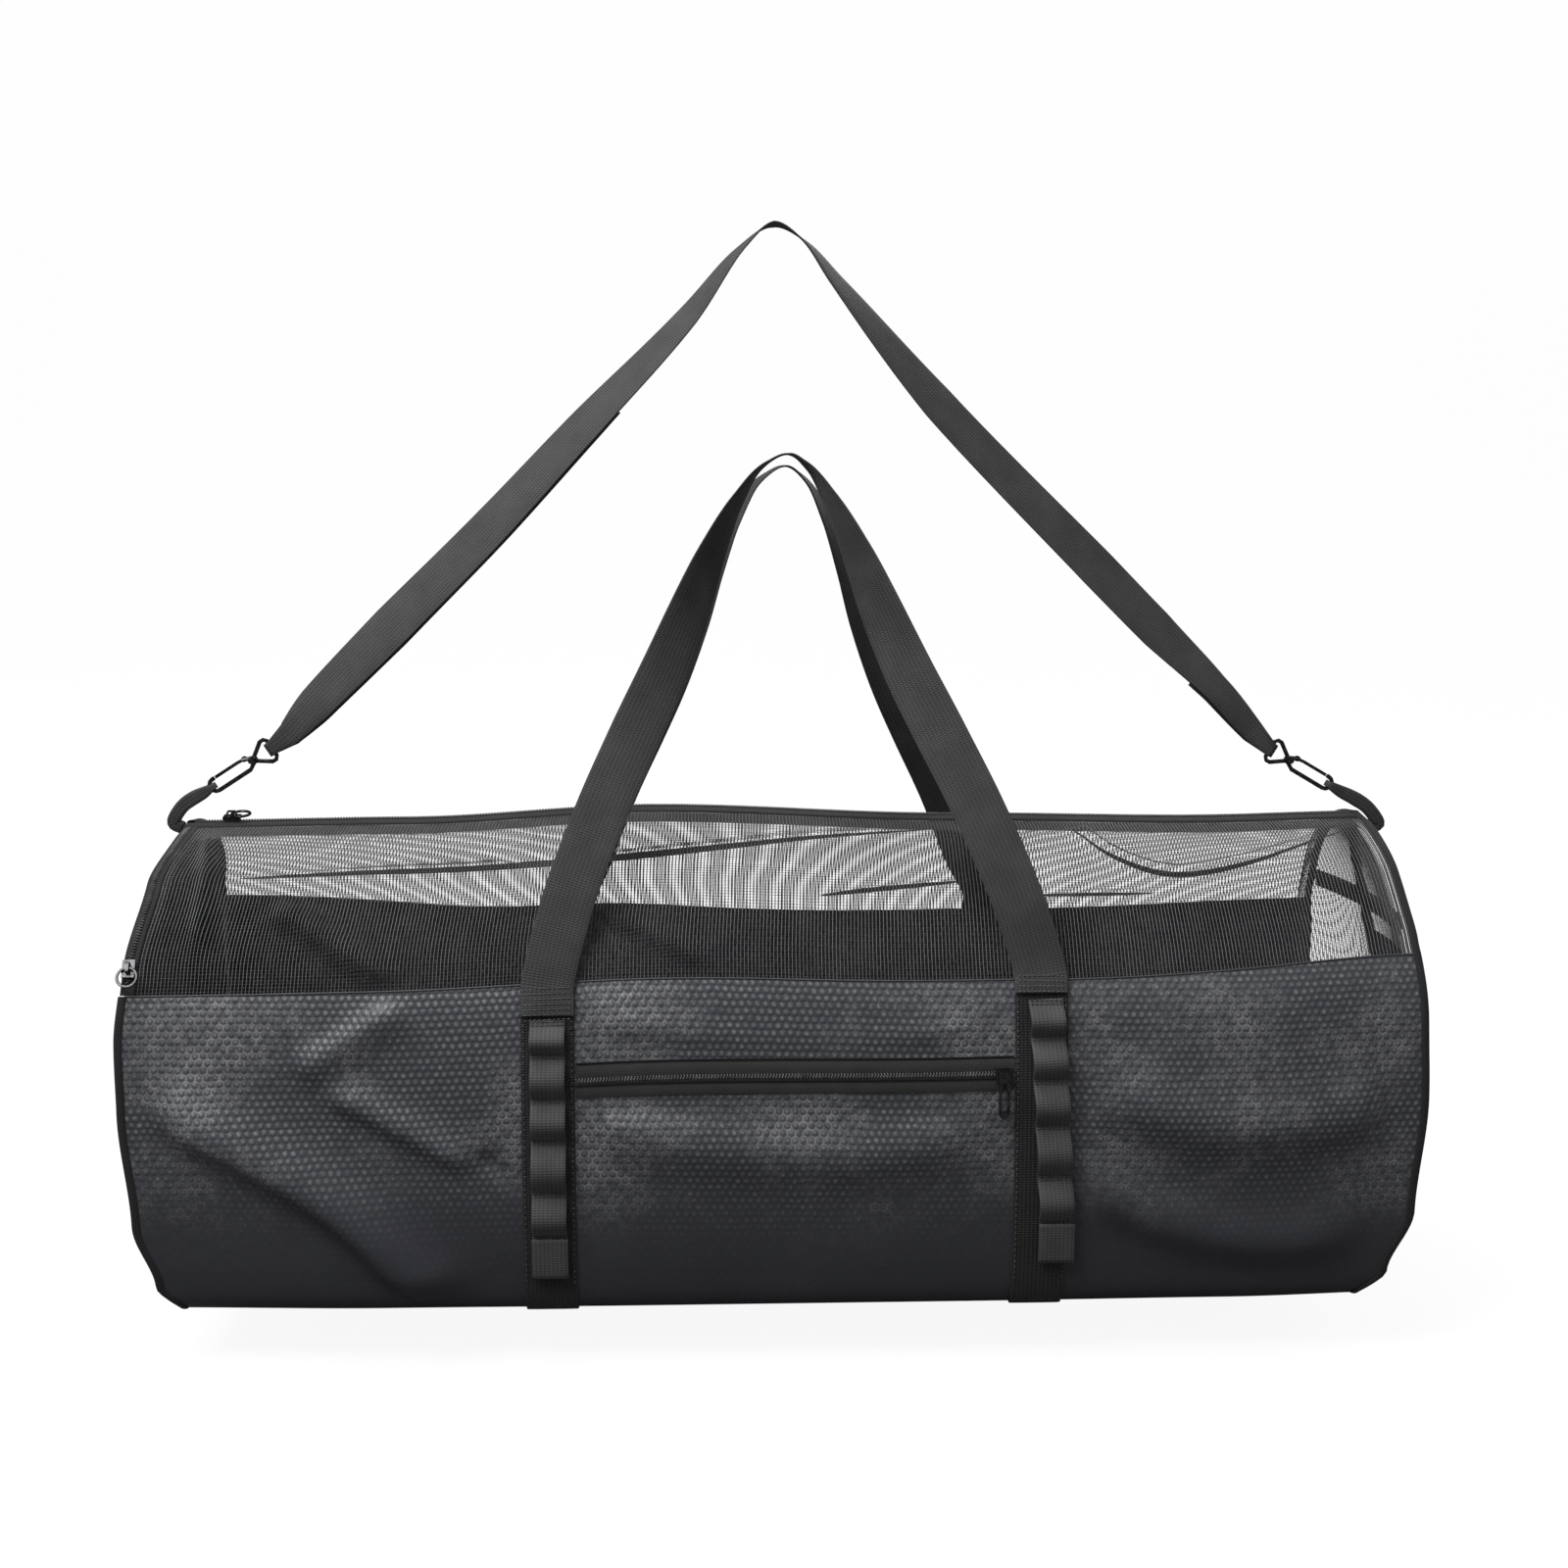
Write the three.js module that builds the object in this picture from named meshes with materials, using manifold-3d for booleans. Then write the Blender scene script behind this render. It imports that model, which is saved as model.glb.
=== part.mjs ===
// Mesh dive gear bag: a long barrel bag with a see-through upper half, a coated fabric
// lower half, two carry handles, daisy chains, a front pocket zip and a shoulder strap.
// Millimetres, +X along the bag, -Y to the viewer, +Z up, floor at z = 0.

import * as THREE from 'three';
import Module from 'manifold-3d';
import { mergeVertices } from 'three/addons/utils/BufferGeometryUtils.js';

const wasm = await Module();
wasm.setup();

// Bag body
const halfLength = 472;
const halfDepth = 172;
const bagHeight = 341;
const clothWall = 1.6;
const seamGap = 0.6;
const layerGap = 0.5;
const rimWidth = 11;

// Webbing
const webbing = 1.6;
const strapWidth = 38;
const daisyWidth = 25;
const strapSpacing = 353;
const strapMiddle = 11;

// Heights on the front and back of the bag
const fabricEdge = 241;
const edgeBend = 0.09;
const handleRise = 619;
const shoulderRise = 793;

// Zips
const tapeWidth = 12;
const coilWidth = 5;
const coilRise = 1.6;
const pocketZipHeight = 176.5;
const pocketZipClimb = 6;
const endZipBand = 22;

// Snap hooks
const hookLength = 57;
const hookHalfGap = 5;
const hookWire = 1.7;
const gateWire = 1.3;

const floorLift = webbing + layerGap;
const strapX = { left: strapMiddle - strapSpacing / 2, right: strapMiddle + strapSpacing / 2 };

// Half of the cross-section, from the ridge round the side to the flat bottom.
// out is a share of halfDepth, up is a share of the body height.
const section = [
  { out: 0.00, up: 1.000 },
  { out: 0.30, up: 0.978 },
  { out: 0.58, up: 0.912 },
  { out: 0.80, up: 0.812 },
  { out: 0.93, up: 0.705 },
  { out: 0.985, up: 0.560 },
  { out: 1.000, up: 0.360 },
  { out: 0.995, up: 0.200 },
  { out: 0.975, up: 0.090 },
  { out: 0.940, up: 0.024 },
  { out: 0.890, up: 0.000 },
];

// How far each end reaches at each height, as shares of halfLength.
const endReach = [
  { up: 0.00, left: 0.925, right: 0.910 },
  { up: 0.06, left: 0.955, right: 0.948 },
  { up: 0.20, left: 0.985, right: 0.985 },
  { up: 0.45, left: 1.000, right: 1.000 },
  { up: 0.60, left: 1.002, right: 0.998 },
  { up: 0.75, left: 0.994, right: 0.990 },
  { up: 0.91, left: 0.978, right: 0.984 },
  { up: 1.00, left: 0.958, right: 0.978 },
];

// Fullness along the bag: shares of the section's depth and height.
const fullness = [
  { along: -1.0, depth: 0.94, height: 0.990 },
  { along: -0.6, depth: 0.99, height: 0.996 },
  { along: -0.2, depth: 1.00, height: 1.022 },
  { along: 0.3, depth: 1.00, height: 0.998 },
  { along: 0.7, depth: 0.99, height: 0.990 },
  { along: 1.0, depth: 0.94, height: 0.998 },
];

// How the top edge of the fabric climbs along the front and back, as shares of bagHeight.
const edgeClimb = [
  { along: -1.0, front: -0.008, back: 0.044 },
  { along: -0.4, front: 0.002, back: -0.016 },
  { along: 0.0, front: 0.008, back: -0.036 },
  { along: 0.4, front: 0.014, back: -0.026 },
  { along: 1.0, front: 0.056, back: 0.004 },
];

// Broad dents and swells: place as shares of halfLength and body height, reach and depth in shares.
const dents = [
  { along: -0.72, up: 0.24, side: -1, long: 0.16, tall: 0.30, lift: -0.030 },
  { along: -0.88, up: 0.45, side: -1, long: 0.12, tall: 0.30, lift: 0.012 },
  { along: 0.70, up: 0.50, side: -1, long: 0.20, tall: 0.28, lift: 0.020 },
  { along: 0.68, up: 0.90, side: -1, long: 0.16, tall: 0.12, lift: -0.022 },
  { along: 0.66, up: 0.30, side: 1, long: 0.20, tall: 0.28, lift: 0.016 },
];

// Rows of the cloth grid: shares of the half girth, from the ridge to the middle of the bottom.
const meshRows = 6;
const sideRows = 5;
const cornerRows = 5;
const leftColumns = 6;
const middleColumns = 7;
const rightColumns = 5;

const charcoal = { color: 0x2a2c31, roughness: 0.62, metalness: 0.0 };
const netBlack = { color: 0x1c1d20, roughness: 0.70, metalness: 0.0 };
const webbingGrey = { color: 0x303137, roughness: 0.75, metalness: 0.0 };
const zipBlack = { color: 0x202125, roughness: 0.45, metalness: 0.0 };
const darkMetal = { color: 0x6a6b6e, roughness: 0.30, metalness: 1.0 };

function lerp(a, b, t) {
  return a + (b - a) * t;
}

function readTable(table, key, at, column) {
  for (let i = 1; i < table.length; i += 1) {
    const low = table[i - 1];
    const high = table[i];
    if (at <= high[key] || i === table.length - 1) {
      const t = Math.min(Math.max((at - low[key]) / (high[key] - low[key]), 0), 1);
      const smooth = t * t * (3 - 2 * t);
      return lerp(low[column], high[column], smooth);
    }
  }
  return table[0][column];
}

const bodyHeight = bagHeight - floorLift;
const sectionPoints = section.map((row) => (
  new THREE.Vector3(row.out * halfDepth, row.up * bodyHeight, 0)
));
const halfGirth = new THREE.CurvePath();
halfGirth.add(new THREE.CatmullRomCurve3(sectionPoints));
halfGirth.add(new THREE.LineCurve3(sectionPoints[sectionPoints.length - 1], new THREE.Vector3()));
halfGirth.arcLengthDivisions = 400;
const girthLength = halfGirth.getLength();

function girthAtHeight(height) {
  let low = 0.1;
  let high = 0.72;
  for (let i = 0; i < 40; i += 1) {
    const middle = (low + high) / 2;
    if (halfGirth.getPointAt(middle).y > height - floorLift) {
      low = middle;
    } else {
      high = middle;
    }
  }
  return low;
}

function dentLift(along, up, side) {
  let lift = 0;
  for (const dent of dents) {
    if (dent.side === side) {
      const a = (along - dent.along) / dent.long;
      const b = (up - dent.up) / dent.tall;
      lift += dent.lift * halfDepth * Math.exp(-a * a - b * b);
    }
  }
  return lift;
}

// A point on the bag's skin. girth runs 0 at the ridge, down the front to 1 at the middle
// of the bottom, and up the back to 2 at the ridge again. lift is the distance outwards.
function bagPoint(x, girth, lift = 0) {
  const side = girth <= 1 ? -1 : 1;
  const share = Math.min(Math.max(girth <= 1 ? girth : 2 - girth, 0), 1);
  const point = halfGirth.getPointAt(share);
  const tangent = halfGirth.getTangentAt(share);
  const along = x / halfLength;
  const up = point.y / bodyHeight;
  const out = point.x * readTable(fullness, 'along', along, 'depth');
  const rise = point.y * readTable(fullness, 'along', along, 'height');
  const total = lift + dentLift(along, up, side) * Math.sin(Math.PI * Math.min(share / 0.7, 1));
  return new THREE.Vector3(x, side * (out - tangent.y * total), floorLift + rise + tangent.x * total);
}

// The same point for a row of the cloth grid, whose rows bend to follow the fabric's edge.
function gridPoint(x, girth, lift = 0) {
  const front = girth <= 1;
  const share = front ? girth : 2 - girth;
  const near = Math.max(1 - Math.abs(share - edgeGirth) / edgeBend, 0);
  const climb = readTable(edgeClimb, 'along', x / halfLength, front ? 'front' : 'back') * bagHeight;
  const bent = share - (near * climb) / girthLength;
  return bagPoint(x, front ? bent : 2 - bent, lift);
}

function upShare(girth) {
  const share = girth <= 1 ? girth : 2 - girth;
  return halfGirth.getPointAt(share).y / bodyHeight;
}

function endX(end, girth) {
  const reach = readTable(endReach, 'up', upShare(girth), end);
  return (end === 'left' ? -1 : 1) * reach * halfLength;
}

const edgeGirth = girthAtHeight(fabricEdge);
const sideEnd = girthAtHeight(58);
const cornerEnd = 1 - (section[section.length - 1].out * halfDepth) / girthLength;
const ridgeStart = (coilWidth / 2 + layerGap + tapeWidth) / girthLength;
const seamShare = seamGap / girthLength;

// Shares of the half girth where the cloth grid has its rows.
function clothRows(start, stop) {
  const rows = [];
  for (let i = 0; i <= meshRows; i += 1) {
    rows.push(lerp(ridgeStart, edgeGirth, i / meshRows));
  }
  for (let i = 1; i <= sideRows; i += 1) {
    rows.push(lerp(edgeGirth, sideEnd, i / sideRows));
  }
  for (let i = 1; i <= cornerRows; i += 1) {
    rows.push(lerp(sideEnd, cornerEnd, i / cornerRows));
  }
  rows.push(1);
  const back = rows.slice(0, -1).reverse().map((row) => 2 - row);
  const all = rows.concat(back);
  const inside = all.filter((row) => row > start + 1e-6 && row < stop - 1e-6);
  return [start, ...inside, stop];
}

// Columns of the cloth grid: the webbing's edges are always columns, so that flat
// webbing lies on flat cloth.
function clothColumns(girth, leftInset = 0, rightInset = 0) {
  const half = strapWidth / 2;
  const start = endX('left', girth) + leftInset;
  const stop = endX('right', girth) - rightInset;
  const columns = [start];
  for (let i = 0; i <= leftColumns; i += 1) {
    columns.push(lerp(start + rimWidth, strapX.left - half, i / leftColumns));
  }
  for (let i = 0; i <= middleColumns; i += 1) {
    columns.push(lerp(strapX.left + half, strapX.right - half, i / middleColumns));
  }
  for (let i = 0; i <= rightColumns; i += 1) {
    columns.push(lerp(strapX.right + half, stop - rimWidth, i / rightColumns));
  }
  return [...columns, stop];
}

// A closed thin body over a grid: pointAt(row, column, layer) with layer 0 outside, 1 inside.
function thinBody(rows, columns, pointAt, closed = false) {
  const positions = [];
  const indices = [];
  const width = columns + 1;
  const rowCount = closed ? rows : rows + 1;
  for (let layer = 0; layer < 2; layer += 1) {
    for (let row = 0; row < rowCount; row += 1) {
      for (let column = 0; column <= columns; column += 1) {
        positions.push(...pointAt(row, column, layer).toArray());
      }
    }
  }
  const id = (row, column, layer) => (layer * rowCount + (row % rowCount)) * width + column;
  const quad = (a, b, c, d) => indices.push(a, b, c, a, c, d);
  for (let row = 0; row < rows; row += 1) {
    for (let column = 0; column < columns; column += 1) {
      quad(id(row, column, 0), id(row + 1, column, 0), id(row + 1, column + 1, 0), id(row, column + 1, 0));
      quad(id(row, column, 1), id(row, column + 1, 1), id(row + 1, column + 1, 1), id(row + 1, column, 1));
    }
    quad(id(row, 0, 0), id(row, 0, 1), id(row + 1, 0, 1), id(row + 1, 0, 0));
    quad(id(row, columns, 0), id(row + 1, columns, 0), id(row + 1, columns, 1), id(row, columns, 1));
  }
  if (!closed) {
    for (let column = 0; column < columns; column += 1) {
      quad(id(0, column, 0), id(0, column + 1, 0), id(0, column + 1, 1), id(0, column, 1));
      quad(id(rows, column, 0), id(rows, column, 1), id(rows, column + 1, 1), id(rows, column + 1, 0));
    }
  }
  const geometry = new THREE.BufferGeometry();
  geometry.setAttribute('position', new THREE.Float32BufferAttribute(positions, 3));
  geometry.setIndex(indices);
  return facingOut(geometry);
}

// Turns the triangles over where the volume comes out negative.
function facingOut(geometry) {
  const position = geometry.getAttribute('position');
  const index = geometry.getIndex().array;
  const a = new THREE.Vector3();
  const b = new THREE.Vector3();
  const c = new THREE.Vector3();
  let volume = 0;
  for (let i = 0; i < index.length; i += 3) {
    a.fromBufferAttribute(position, index[i]);
    b.fromBufferAttribute(position, index[i + 1]);
    c.fromBufferAttribute(position, index[i + 2]);
    volume += a.dot(b.cross(c)) / 6;
  }
  if (volume < 0) {
    const turned = Array.from(index);
    for (let i = 0; i < turned.length; i += 3) {
      const swap = turned[i + 1];
      turned[i + 1] = turned[i + 2];
      turned[i + 2] = swap;
    }
    geometry.setIndex(turned);
  }
  geometry.computeVertexNormals();
  return geometry;
}

// Cloth between two girth shares, running from one end of the bag to the other.
function clothSheet(start, stop, leftInset, rightInset) {
  const rows = clothRows(start, stop);
  const grid = rows.map((girth) => clothColumns(girth, leftInset, rightInset));
  const columns = grid[0].length - 1;
  return thinBody(rows.length - 1, columns, (row, column, layer) => (
    gridPoint(grid[row][column], rows[row], layer === 0 ? 0 : -clothWall)
  ));
}

// A flat band that follows the skin between two girth shares at a fixed x.
function girthBand(x, width, start, stop, low, high) {
  const rows = clothRows(start, stop);
  return thinBody(rows.length - 1, 1, (row, column, layer) => (
    gridPoint(x + (column - 0.5) * width, rows[row], layer === 0 ? high : low)
  ));
}

// Webbing along a list of { at, across, width } places.
function ribbon(places, thickness) {
  const last = places.length - 1;
  return thinBody(last, 1, (row, column, layer) => {
    const before = places[Math.max(row - 1, 0)].at;
    const after = places[Math.min(row + 1, last)].at;
    const tangent = after.clone().sub(before).normalize();
    const across = places[row].across.clone().addScaledVector(tangent, -places[row].across.dot(tangent));
    across.normalize();
    const face = tangent.clone().cross(across);
    const point = places[row].at.clone().addScaledVector(across, (column - 0.5) * places[row].width);
    return point.addScaledVector(face, (0.5 - layer) * thickness);
  });
}

// A round wire along a list of points in one plane, with flat ends, or closed.
function wire(points, radius, sides, planeNormal, closed = false) {
  const last = points.length - 1;
  const positions = [];
  const indices = [];
  const count = points.length;
  points.forEach((point, i) => {
    const before = closed ? points[(i + count - 1) % count] : points[Math.max(i - 1, 0)];
    const after = closed ? points[(i + 1) % count] : points[Math.min(i + 1, last)];
    const tangent = after.clone().sub(before).normalize();
    const side = tangent.clone().cross(planeNormal).normalize();
    for (let k = 0; k < sides; k += 1) {
      const turn = (2 * Math.PI * k) / sides;
      const offset = side.clone().multiplyScalar(Math.cos(turn) * radius);
      offset.addScaledVector(planeNormal, Math.sin(turn) * radius);
      positions.push(...point.clone().add(offset).toArray());
    }
  });
  const rings = closed ? count : count - 1;
  for (let i = 0; i < rings; i += 1) {
    const next = ((i + 1) % count) * sides;
    for (let k = 0; k < sides; k += 1) {
      const m = (k + 1) % sides;
      indices.push(i * sides + k, i * sides + m, next + m, i * sides + k, next + m, next + k);
    }
  }
  if (!closed) {
    for (let k = 1; k < sides - 1; k += 1) {
      indices.push(0, k + 1, k);
      indices.push(last * sides, last * sides + k, last * sides + k + 1);
    }
  }
  const geometry = new THREE.BufferGeometry();
  geometry.setAttribute('position', new THREE.Float32BufferAttribute(positions, 3));
  geometry.setIndex(indices);
  return facingOut(geometry);
}

function toManifold(geometry) {
  const plain = geometry.clone();
  plain.deleteAttribute('normal');
  plain.deleteAttribute('uv');
  const merged = mergeVertices(plain, 1e-4);
  return new wasm.Manifold(new wasm.Mesh({
    numProp: 3,
    vertProperties: new Float32Array(merged.getAttribute('position').array),
    triVerts: new Uint32Array(merged.getIndex().array),
  }));
}

function fromManifold(solid) {
  const mesh = solid.getMesh();
  const geometry = new THREE.BufferGeometry();
  geometry.setAttribute('position', new THREE.BufferAttribute(new Float32Array(mesh.vertProperties), 3));
  geometry.setIndex(Array.from(mesh.triVerts));
  geometry.computeVertexNormals();
  return geometry;
}

function joined(...geometries) {
  return fromManifold(geometries.map(toManifold).reduce((all, one) => all.add(one)));
}

function cut(geometry, ...tools) {
  return fromManifold(tools.map(toManifold).reduce((all, one) => all.subtract(one), toManifold(geometry)));
}

const bag = new THREE.Group();

function addPart(name, geometry, look) {
  const mesh = new THREE.Mesh(geometry, new THREE.MeshStandardMaterial({ ...look, side: THREE.DoubleSide }));
  mesh.name = name;
  bag.add(mesh);
  return mesh;
}

// Places a shape drawn in x along the bag, y up the skin and z outwards on the skin.
function onSkin(geometry, x, girth) {
  const origin = bagPoint(x, girth);
  const ahead = bagPoint(x, girth - 0.004);
  const along = new THREE.Vector3(1, 0, 0);
  const up = ahead.sub(origin).normalize();
  const out = along.clone().cross(up);
  return geometry.applyMatrix4(new THREE.Matrix4().makeBasis(along, up, out).setPosition(origin));
}

// The cloth body

addPart('base_fabric', clothSheet(edgeGirth, 2 - edgeGirth, 0, 0), charcoal);
addPart('mesh_front', clothSheet(ridgeStart + seamShare, edgeGirth - seamShare, endZipBand + seamGap, 0), netBlack);
addPart('mesh_back', clothSheet(2 - edgeGirth + seamShare, 2 - ridgeStart - seamShare, 0, 0), netBlack);

// End panels stand just inside the ends of the cloth.
const panelColumns = 8;
const panelInset = rimWidth;
const panelBulge = 20;
const panelTop = ridgeStart * 0.75;
const panelGap = 0.7;

function panelEdge(end, girth) {
  const x = endX(end, girth) + (end === 'left' ? panelInset : -panelInset);
  return gridPoint(x, girth, -clothWall - panelGap);
}

function panelPoint(end, girth, across, lift) {
  const sign = end === 'left' ? -1 : 1;
  const point = panelEdge(end, girth).lerp(panelEdge(end, 2 - girth), (1 + across) / 2);
  const swell = panelBulge * (1 - across * across) * Math.sin(Math.PI * Math.min(upShare(girth), 1));
  point.x += sign * (swell + lift);
  return point;
}

function endPanel(end, start, stop) {
  const rows = clothRows(start, stop);
  return thinBody(rows.length - 1, panelColumns, (row, column, layer) => (
    panelPoint(end, rows[row], -1 + (2 * column) / panelColumns, layer === 0 ? 0 : -clothWall)
  ));
}

addPart('end_panel_left', endPanel('left', panelTop, cornerEnd), charcoal);
addPart('end_mesh_right', endPanel('right', panelTop, edgeGirth - seamShare), netBlack);
addPart('end_fabric_right', endPanel('right', edgeGirth, cornerEnd), charcoal);

// Binding round each rim of the barrel.
const rimRise = 1.4;

function rimBinding(end, ring, closed) {
  const sign = end === 'left' ? -1 : 1;
  const last = closed ? ring.length : ring.length - 1;
  return thinBody(last, 1, (row, column, layer) => {
    const girth = ring[row];
    const x = endX(end, girth) - sign * column * rimWidth;
    return gridPoint(x, girth, layer === 0 ? layerGap + rimRise : layerGap);
  }, closed);
}

const frontRows = clothRows(0, 1);
const fullRing = frontRows.concat(frontRows.slice(1, -1).reverse().map((row) => 2 - row));
addPart('rim_binding_left', rimBinding('left', clothRows(edgeGirth, 2), false), webbingGrey);
addPart('rim_binding_right', rimBinding('right', fullRing, true), webbingGrey);

// The main zip runs along the ridge and down the front of the left rim.

function ridgeTape(sign) {
  const inner = (coilWidth / 2 + layerGap) / girthLength;
  const near = sign < 0 ? inner : 2 - inner;
  const far = sign < 0 ? ridgeStart : 2 - ridgeStart;
  const columns = clothColumns(ridgeStart);
  return thinBody(columns.length - 1, 1, (row, column, layer) => (
    bagPoint(columns[row], column === 0 ? near : far, layer === 0 ? 0 : -clothWall)
  ));
}

function ridgeCoil() {
  const half = coilWidth / 2 / girthLength;
  const columns = clothColumns(0, rimWidth + 1, rimWidth + 1);
  return thinBody(columns.length - 1, 1, (row, column, layer) => (
    bagPoint(columns[row], column === 0 ? half : 2 - half, layer === 0 ? coilRise : -clothWall)
  ));
}

addPart('main_zip_tape_front', ridgeTape(-1), zipBlack);
addPart('main_zip_tape_back', ridgeTape(1), zipBlack);
addPart('main_zip_coil', ridgeCoil(), zipBlack);

function endZipBandBody(inset, width, low, high, start, stop) {
  const rows = clothRows(start, stop);
  const columns = width > rimWidth ? [0, rimWidth, width] : [0, width];
  return thinBody(rows.length - 1, columns.length - 1, (row, column, layer) => (
    gridPoint(endX('left', rows[row]) + inset + columns[column], rows[row], layer === 0 ? high : low)
  ));
}

const endZipTop = ridgeStart + seamShare;
const endZipBottom = edgeGirth - seamShare;
const endCoilInset = 3;
addPart('end_zip_tape', endZipBandBody(0, endZipBand, -clothWall, 0, endZipTop, endZipBottom), zipBlack);
addPart('end_zip_coil', endZipBandBody(
  endCoilInset,
  coilWidth,
  layerGap,
  layerGap + coilRise,
  endZipTop + 0.01,
  endZipBottom - 0.01,
), zipBlack);

// Two straps go round under the bag, and the bag stands on them.

const strapTop = girthAtHeight(fabricEdge - 2);
for (const side of ['left', 'right']) {
  addPart(
    `girth_strap_${side}`,
    girthBand(strapX[side], strapWidth, strapTop, 2 - strapTop, layerGap, layerGap + webbing),
    webbingGrey,
  );
}

// Carry handles. Half of one handle from the bartack to the apex: side is a share of half
// the strap spacing, reach a share of halfDepth, rise a share of handleRise.
const handleLeg = [
  { side: 0.915, reach: 0.870, rise: 0.490, turn: 0.00 },
  { side: 0.785, reach: 0.745, rise: 0.587, turn: 0.05 },
  { side: 0.655, reach: 0.625, rise: 0.668, turn: 0.12 },
  { side: 0.530, reach: 0.510, rise: 0.743, turn: 0.28 },
  { side: 0.420, reach: 0.405, rise: 0.816, turn: 0.45 },
  { side: 0.325, reach: 0.310, rise: 0.881, turn: 0.64 },
  { side: 0.215, reach: 0.215, rise: 0.943, turn: 0.82 },
  { side: 0.105, reach: 0.148, rise: 0.985, turn: 0.95 },
];
const handleTop = { reach: 0.128, rise: 1.0 };
const backHandleDrop = 22;
const legBow = { left: 1.0, right: 1.12 };
const handleSegments = 44;
const handleTacks = {
  left: { bottom: 0.913, top: 0.992 },
  right: { bottom: 0.979, top: 1.029 },
};

function handlePlaces(front) {
  const controls = [];
  const drop = front ? 0 : backHandleDrop;
  const legLift = layerGap + webbing + 2 * layerGap + webbing / 2;
  const leg = (side) => {
    const tack = handleTacks[side < 0 ? 'left' : 'right'];
    const points = [tack.bottom, (tack.bottom + tack.top) / 2, tack.top].map((height) => {
      const share = girthAtHeight(height * fabricEdge);
      const at = bagPoint(strapMiddle + side * strapSpacing / 2, front ? share : 2 - share, legLift);
      return { at, turn: 0 };
    });
    handleLeg.forEach((row) => {
      const y = (front ? -1 : 1) * row.reach * halfDepth;
      const spread = Math.pow(row.side, legBow[side < 0 ? 'left' : 'right']);
      const x = strapMiddle + (side * spread * strapSpacing) / 2;
      const z = row.rise * handleRise - drop * (1 - 0.6 * row.turn);
      points.push({ at: new THREE.Vector3(x, y, z), turn: row.turn });
    });
    return points;
  };
  controls.push(...leg(-1));
  const apexY = (front ? -1 : 1) * handleTop.reach * halfDepth;
  const apex = new THREE.Vector3(strapMiddle, apexY, handleTop.rise * handleRise - 0.4 * drop);
  controls.push({ at: apex, turn: 1 });
  controls.push(...leg(1).reverse());
  const path = new THREE.CatmullRomCurve3(controls.map((control) => control.at));
  const places = [];
  for (let i = 0; i <= handleSegments; i += 1) {
    const t = i / handleSegments;
    const slot = t * (controls.length - 1);
    const low = Math.min(Math.floor(slot), controls.length - 2);
    const turn = lerp(controls[low].turn, controls[low + 1].turn, slot - low) * Math.PI / 2;
    const across = new THREE.Vector3(Math.cos(turn), (front ? 1 : -1) * Math.sin(turn), 0);
    if (t > 0.5) {
      across.y *= -1;
    }
    places.push({ at: path.getPoint(t), across, width: strapWidth });
  }
  return places;
}

function handle(front) {
  const places = handlePlaces(front);
  const middle = (places.length - 1) / 2;
  places.forEach((place, i) => {
    if (i > middle) {
      place.across.multiplyScalar(-1);
    }
  });
  places[middle].across.set(0, front ? 1 : -1, 0);
  return ribbon(places, webbing);
}

addPart('handle_front', handle(true), webbingGrey);
addPart('handle_back', handle(false), webbingGrey);

// Daisy chains: five loops and a folded end tab on the front of each girth strap. The loops'
// heights are shares of fabricEdge.
const daisyLoops = {
  left: [0.884, 0.788, 0.660, 0.535, 0.378, 0.245],
  right: [0.946, 0.842, 0.714, 0.577, 0.419, 0.278],
};
const daisyShift = { left: 0, right: 3 };
const daisyLean = { left: 0, right: 9 };
const loopBulge = 8;
const loopSteps = 7;
const tackLength = 4;
const tabDrop = 25;
const tabLift = 2.4;

function daisyChain(side) {
  const heights = daisyLoops[side].map((share) => share * fabricEdge);
  const base = layerGap + webbing + layerGap + webbing / 2 + 0.1;
  const places = [];
  const top = heights[0];
  const bottom = heights[heights.length - 1];
  const across = new THREE.Vector3(1, 0, 0);
  const put = (height, lift) => {
    const t = (top - height) / (top - bottom);
    const x = strapX[side] + daisyShift[side] + daisyLean[side] * t;
    places.push({ at: bagPoint(x, girthAtHeight(height), base + lift), across, width: daisyWidth });
  };
  put(top + tackLength, 0);
  put(top, 0);
  for (let i = 1; i < heights.length; i += 1) {
    const start = heights[i - 1];
    const stop = heights[i] + tackLength;
    for (let k = 1; k < loopSteps; k += 1) {
      const t = k / loopSteps;
      put(lerp(start, stop, t), 0.2 + loopBulge * Math.sin(Math.PI * Math.pow(t, 1.15)));
    }
    put(stop, 0);
    put(heights[i], 0);
  }
  put(bottom - tabDrop * 0.5, tabLift);
  put(bottom - tabDrop, tabLift);
  return ribbon(places, webbing);
}

for (const side of ['left', 'right']) {
  addPart(`daisy_chain_${side}`, daisyChain(side), webbingGrey);
}

// The pocket zip between the straps.

const pocketStart = strapX.left + strapWidth / 2 + 1;
const pocketStop = strapX.right - strapWidth / 2 - 1;
const halfCoil = coilWidth / 2 / girthLength;
const coilGap = layerGap / girthLength;
const tapeShare = 9 / girthLength;
const zipSegments = 7;

function pocketGirth(x) {
  const share = (x - pocketStart) / (pocketStop - pocketStart) - 0.5;
  return girthAtHeight(pocketZipHeight + pocketZipClimb * share);
}

// A band of the pocket zip between two offsets from its line.
function pocketBand(above, below, rise) {
  return thinBody(zipSegments, 1, (row, column, layer) => {
    const x = lerp(pocketStart, pocketStop, row / zipSegments);
    const girth = pocketGirth(x) + (column === 0 ? above : below);
    return bagPoint(x, girth, layer === 0 ? layerGap + rise : layerGap);
  });
}

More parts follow.
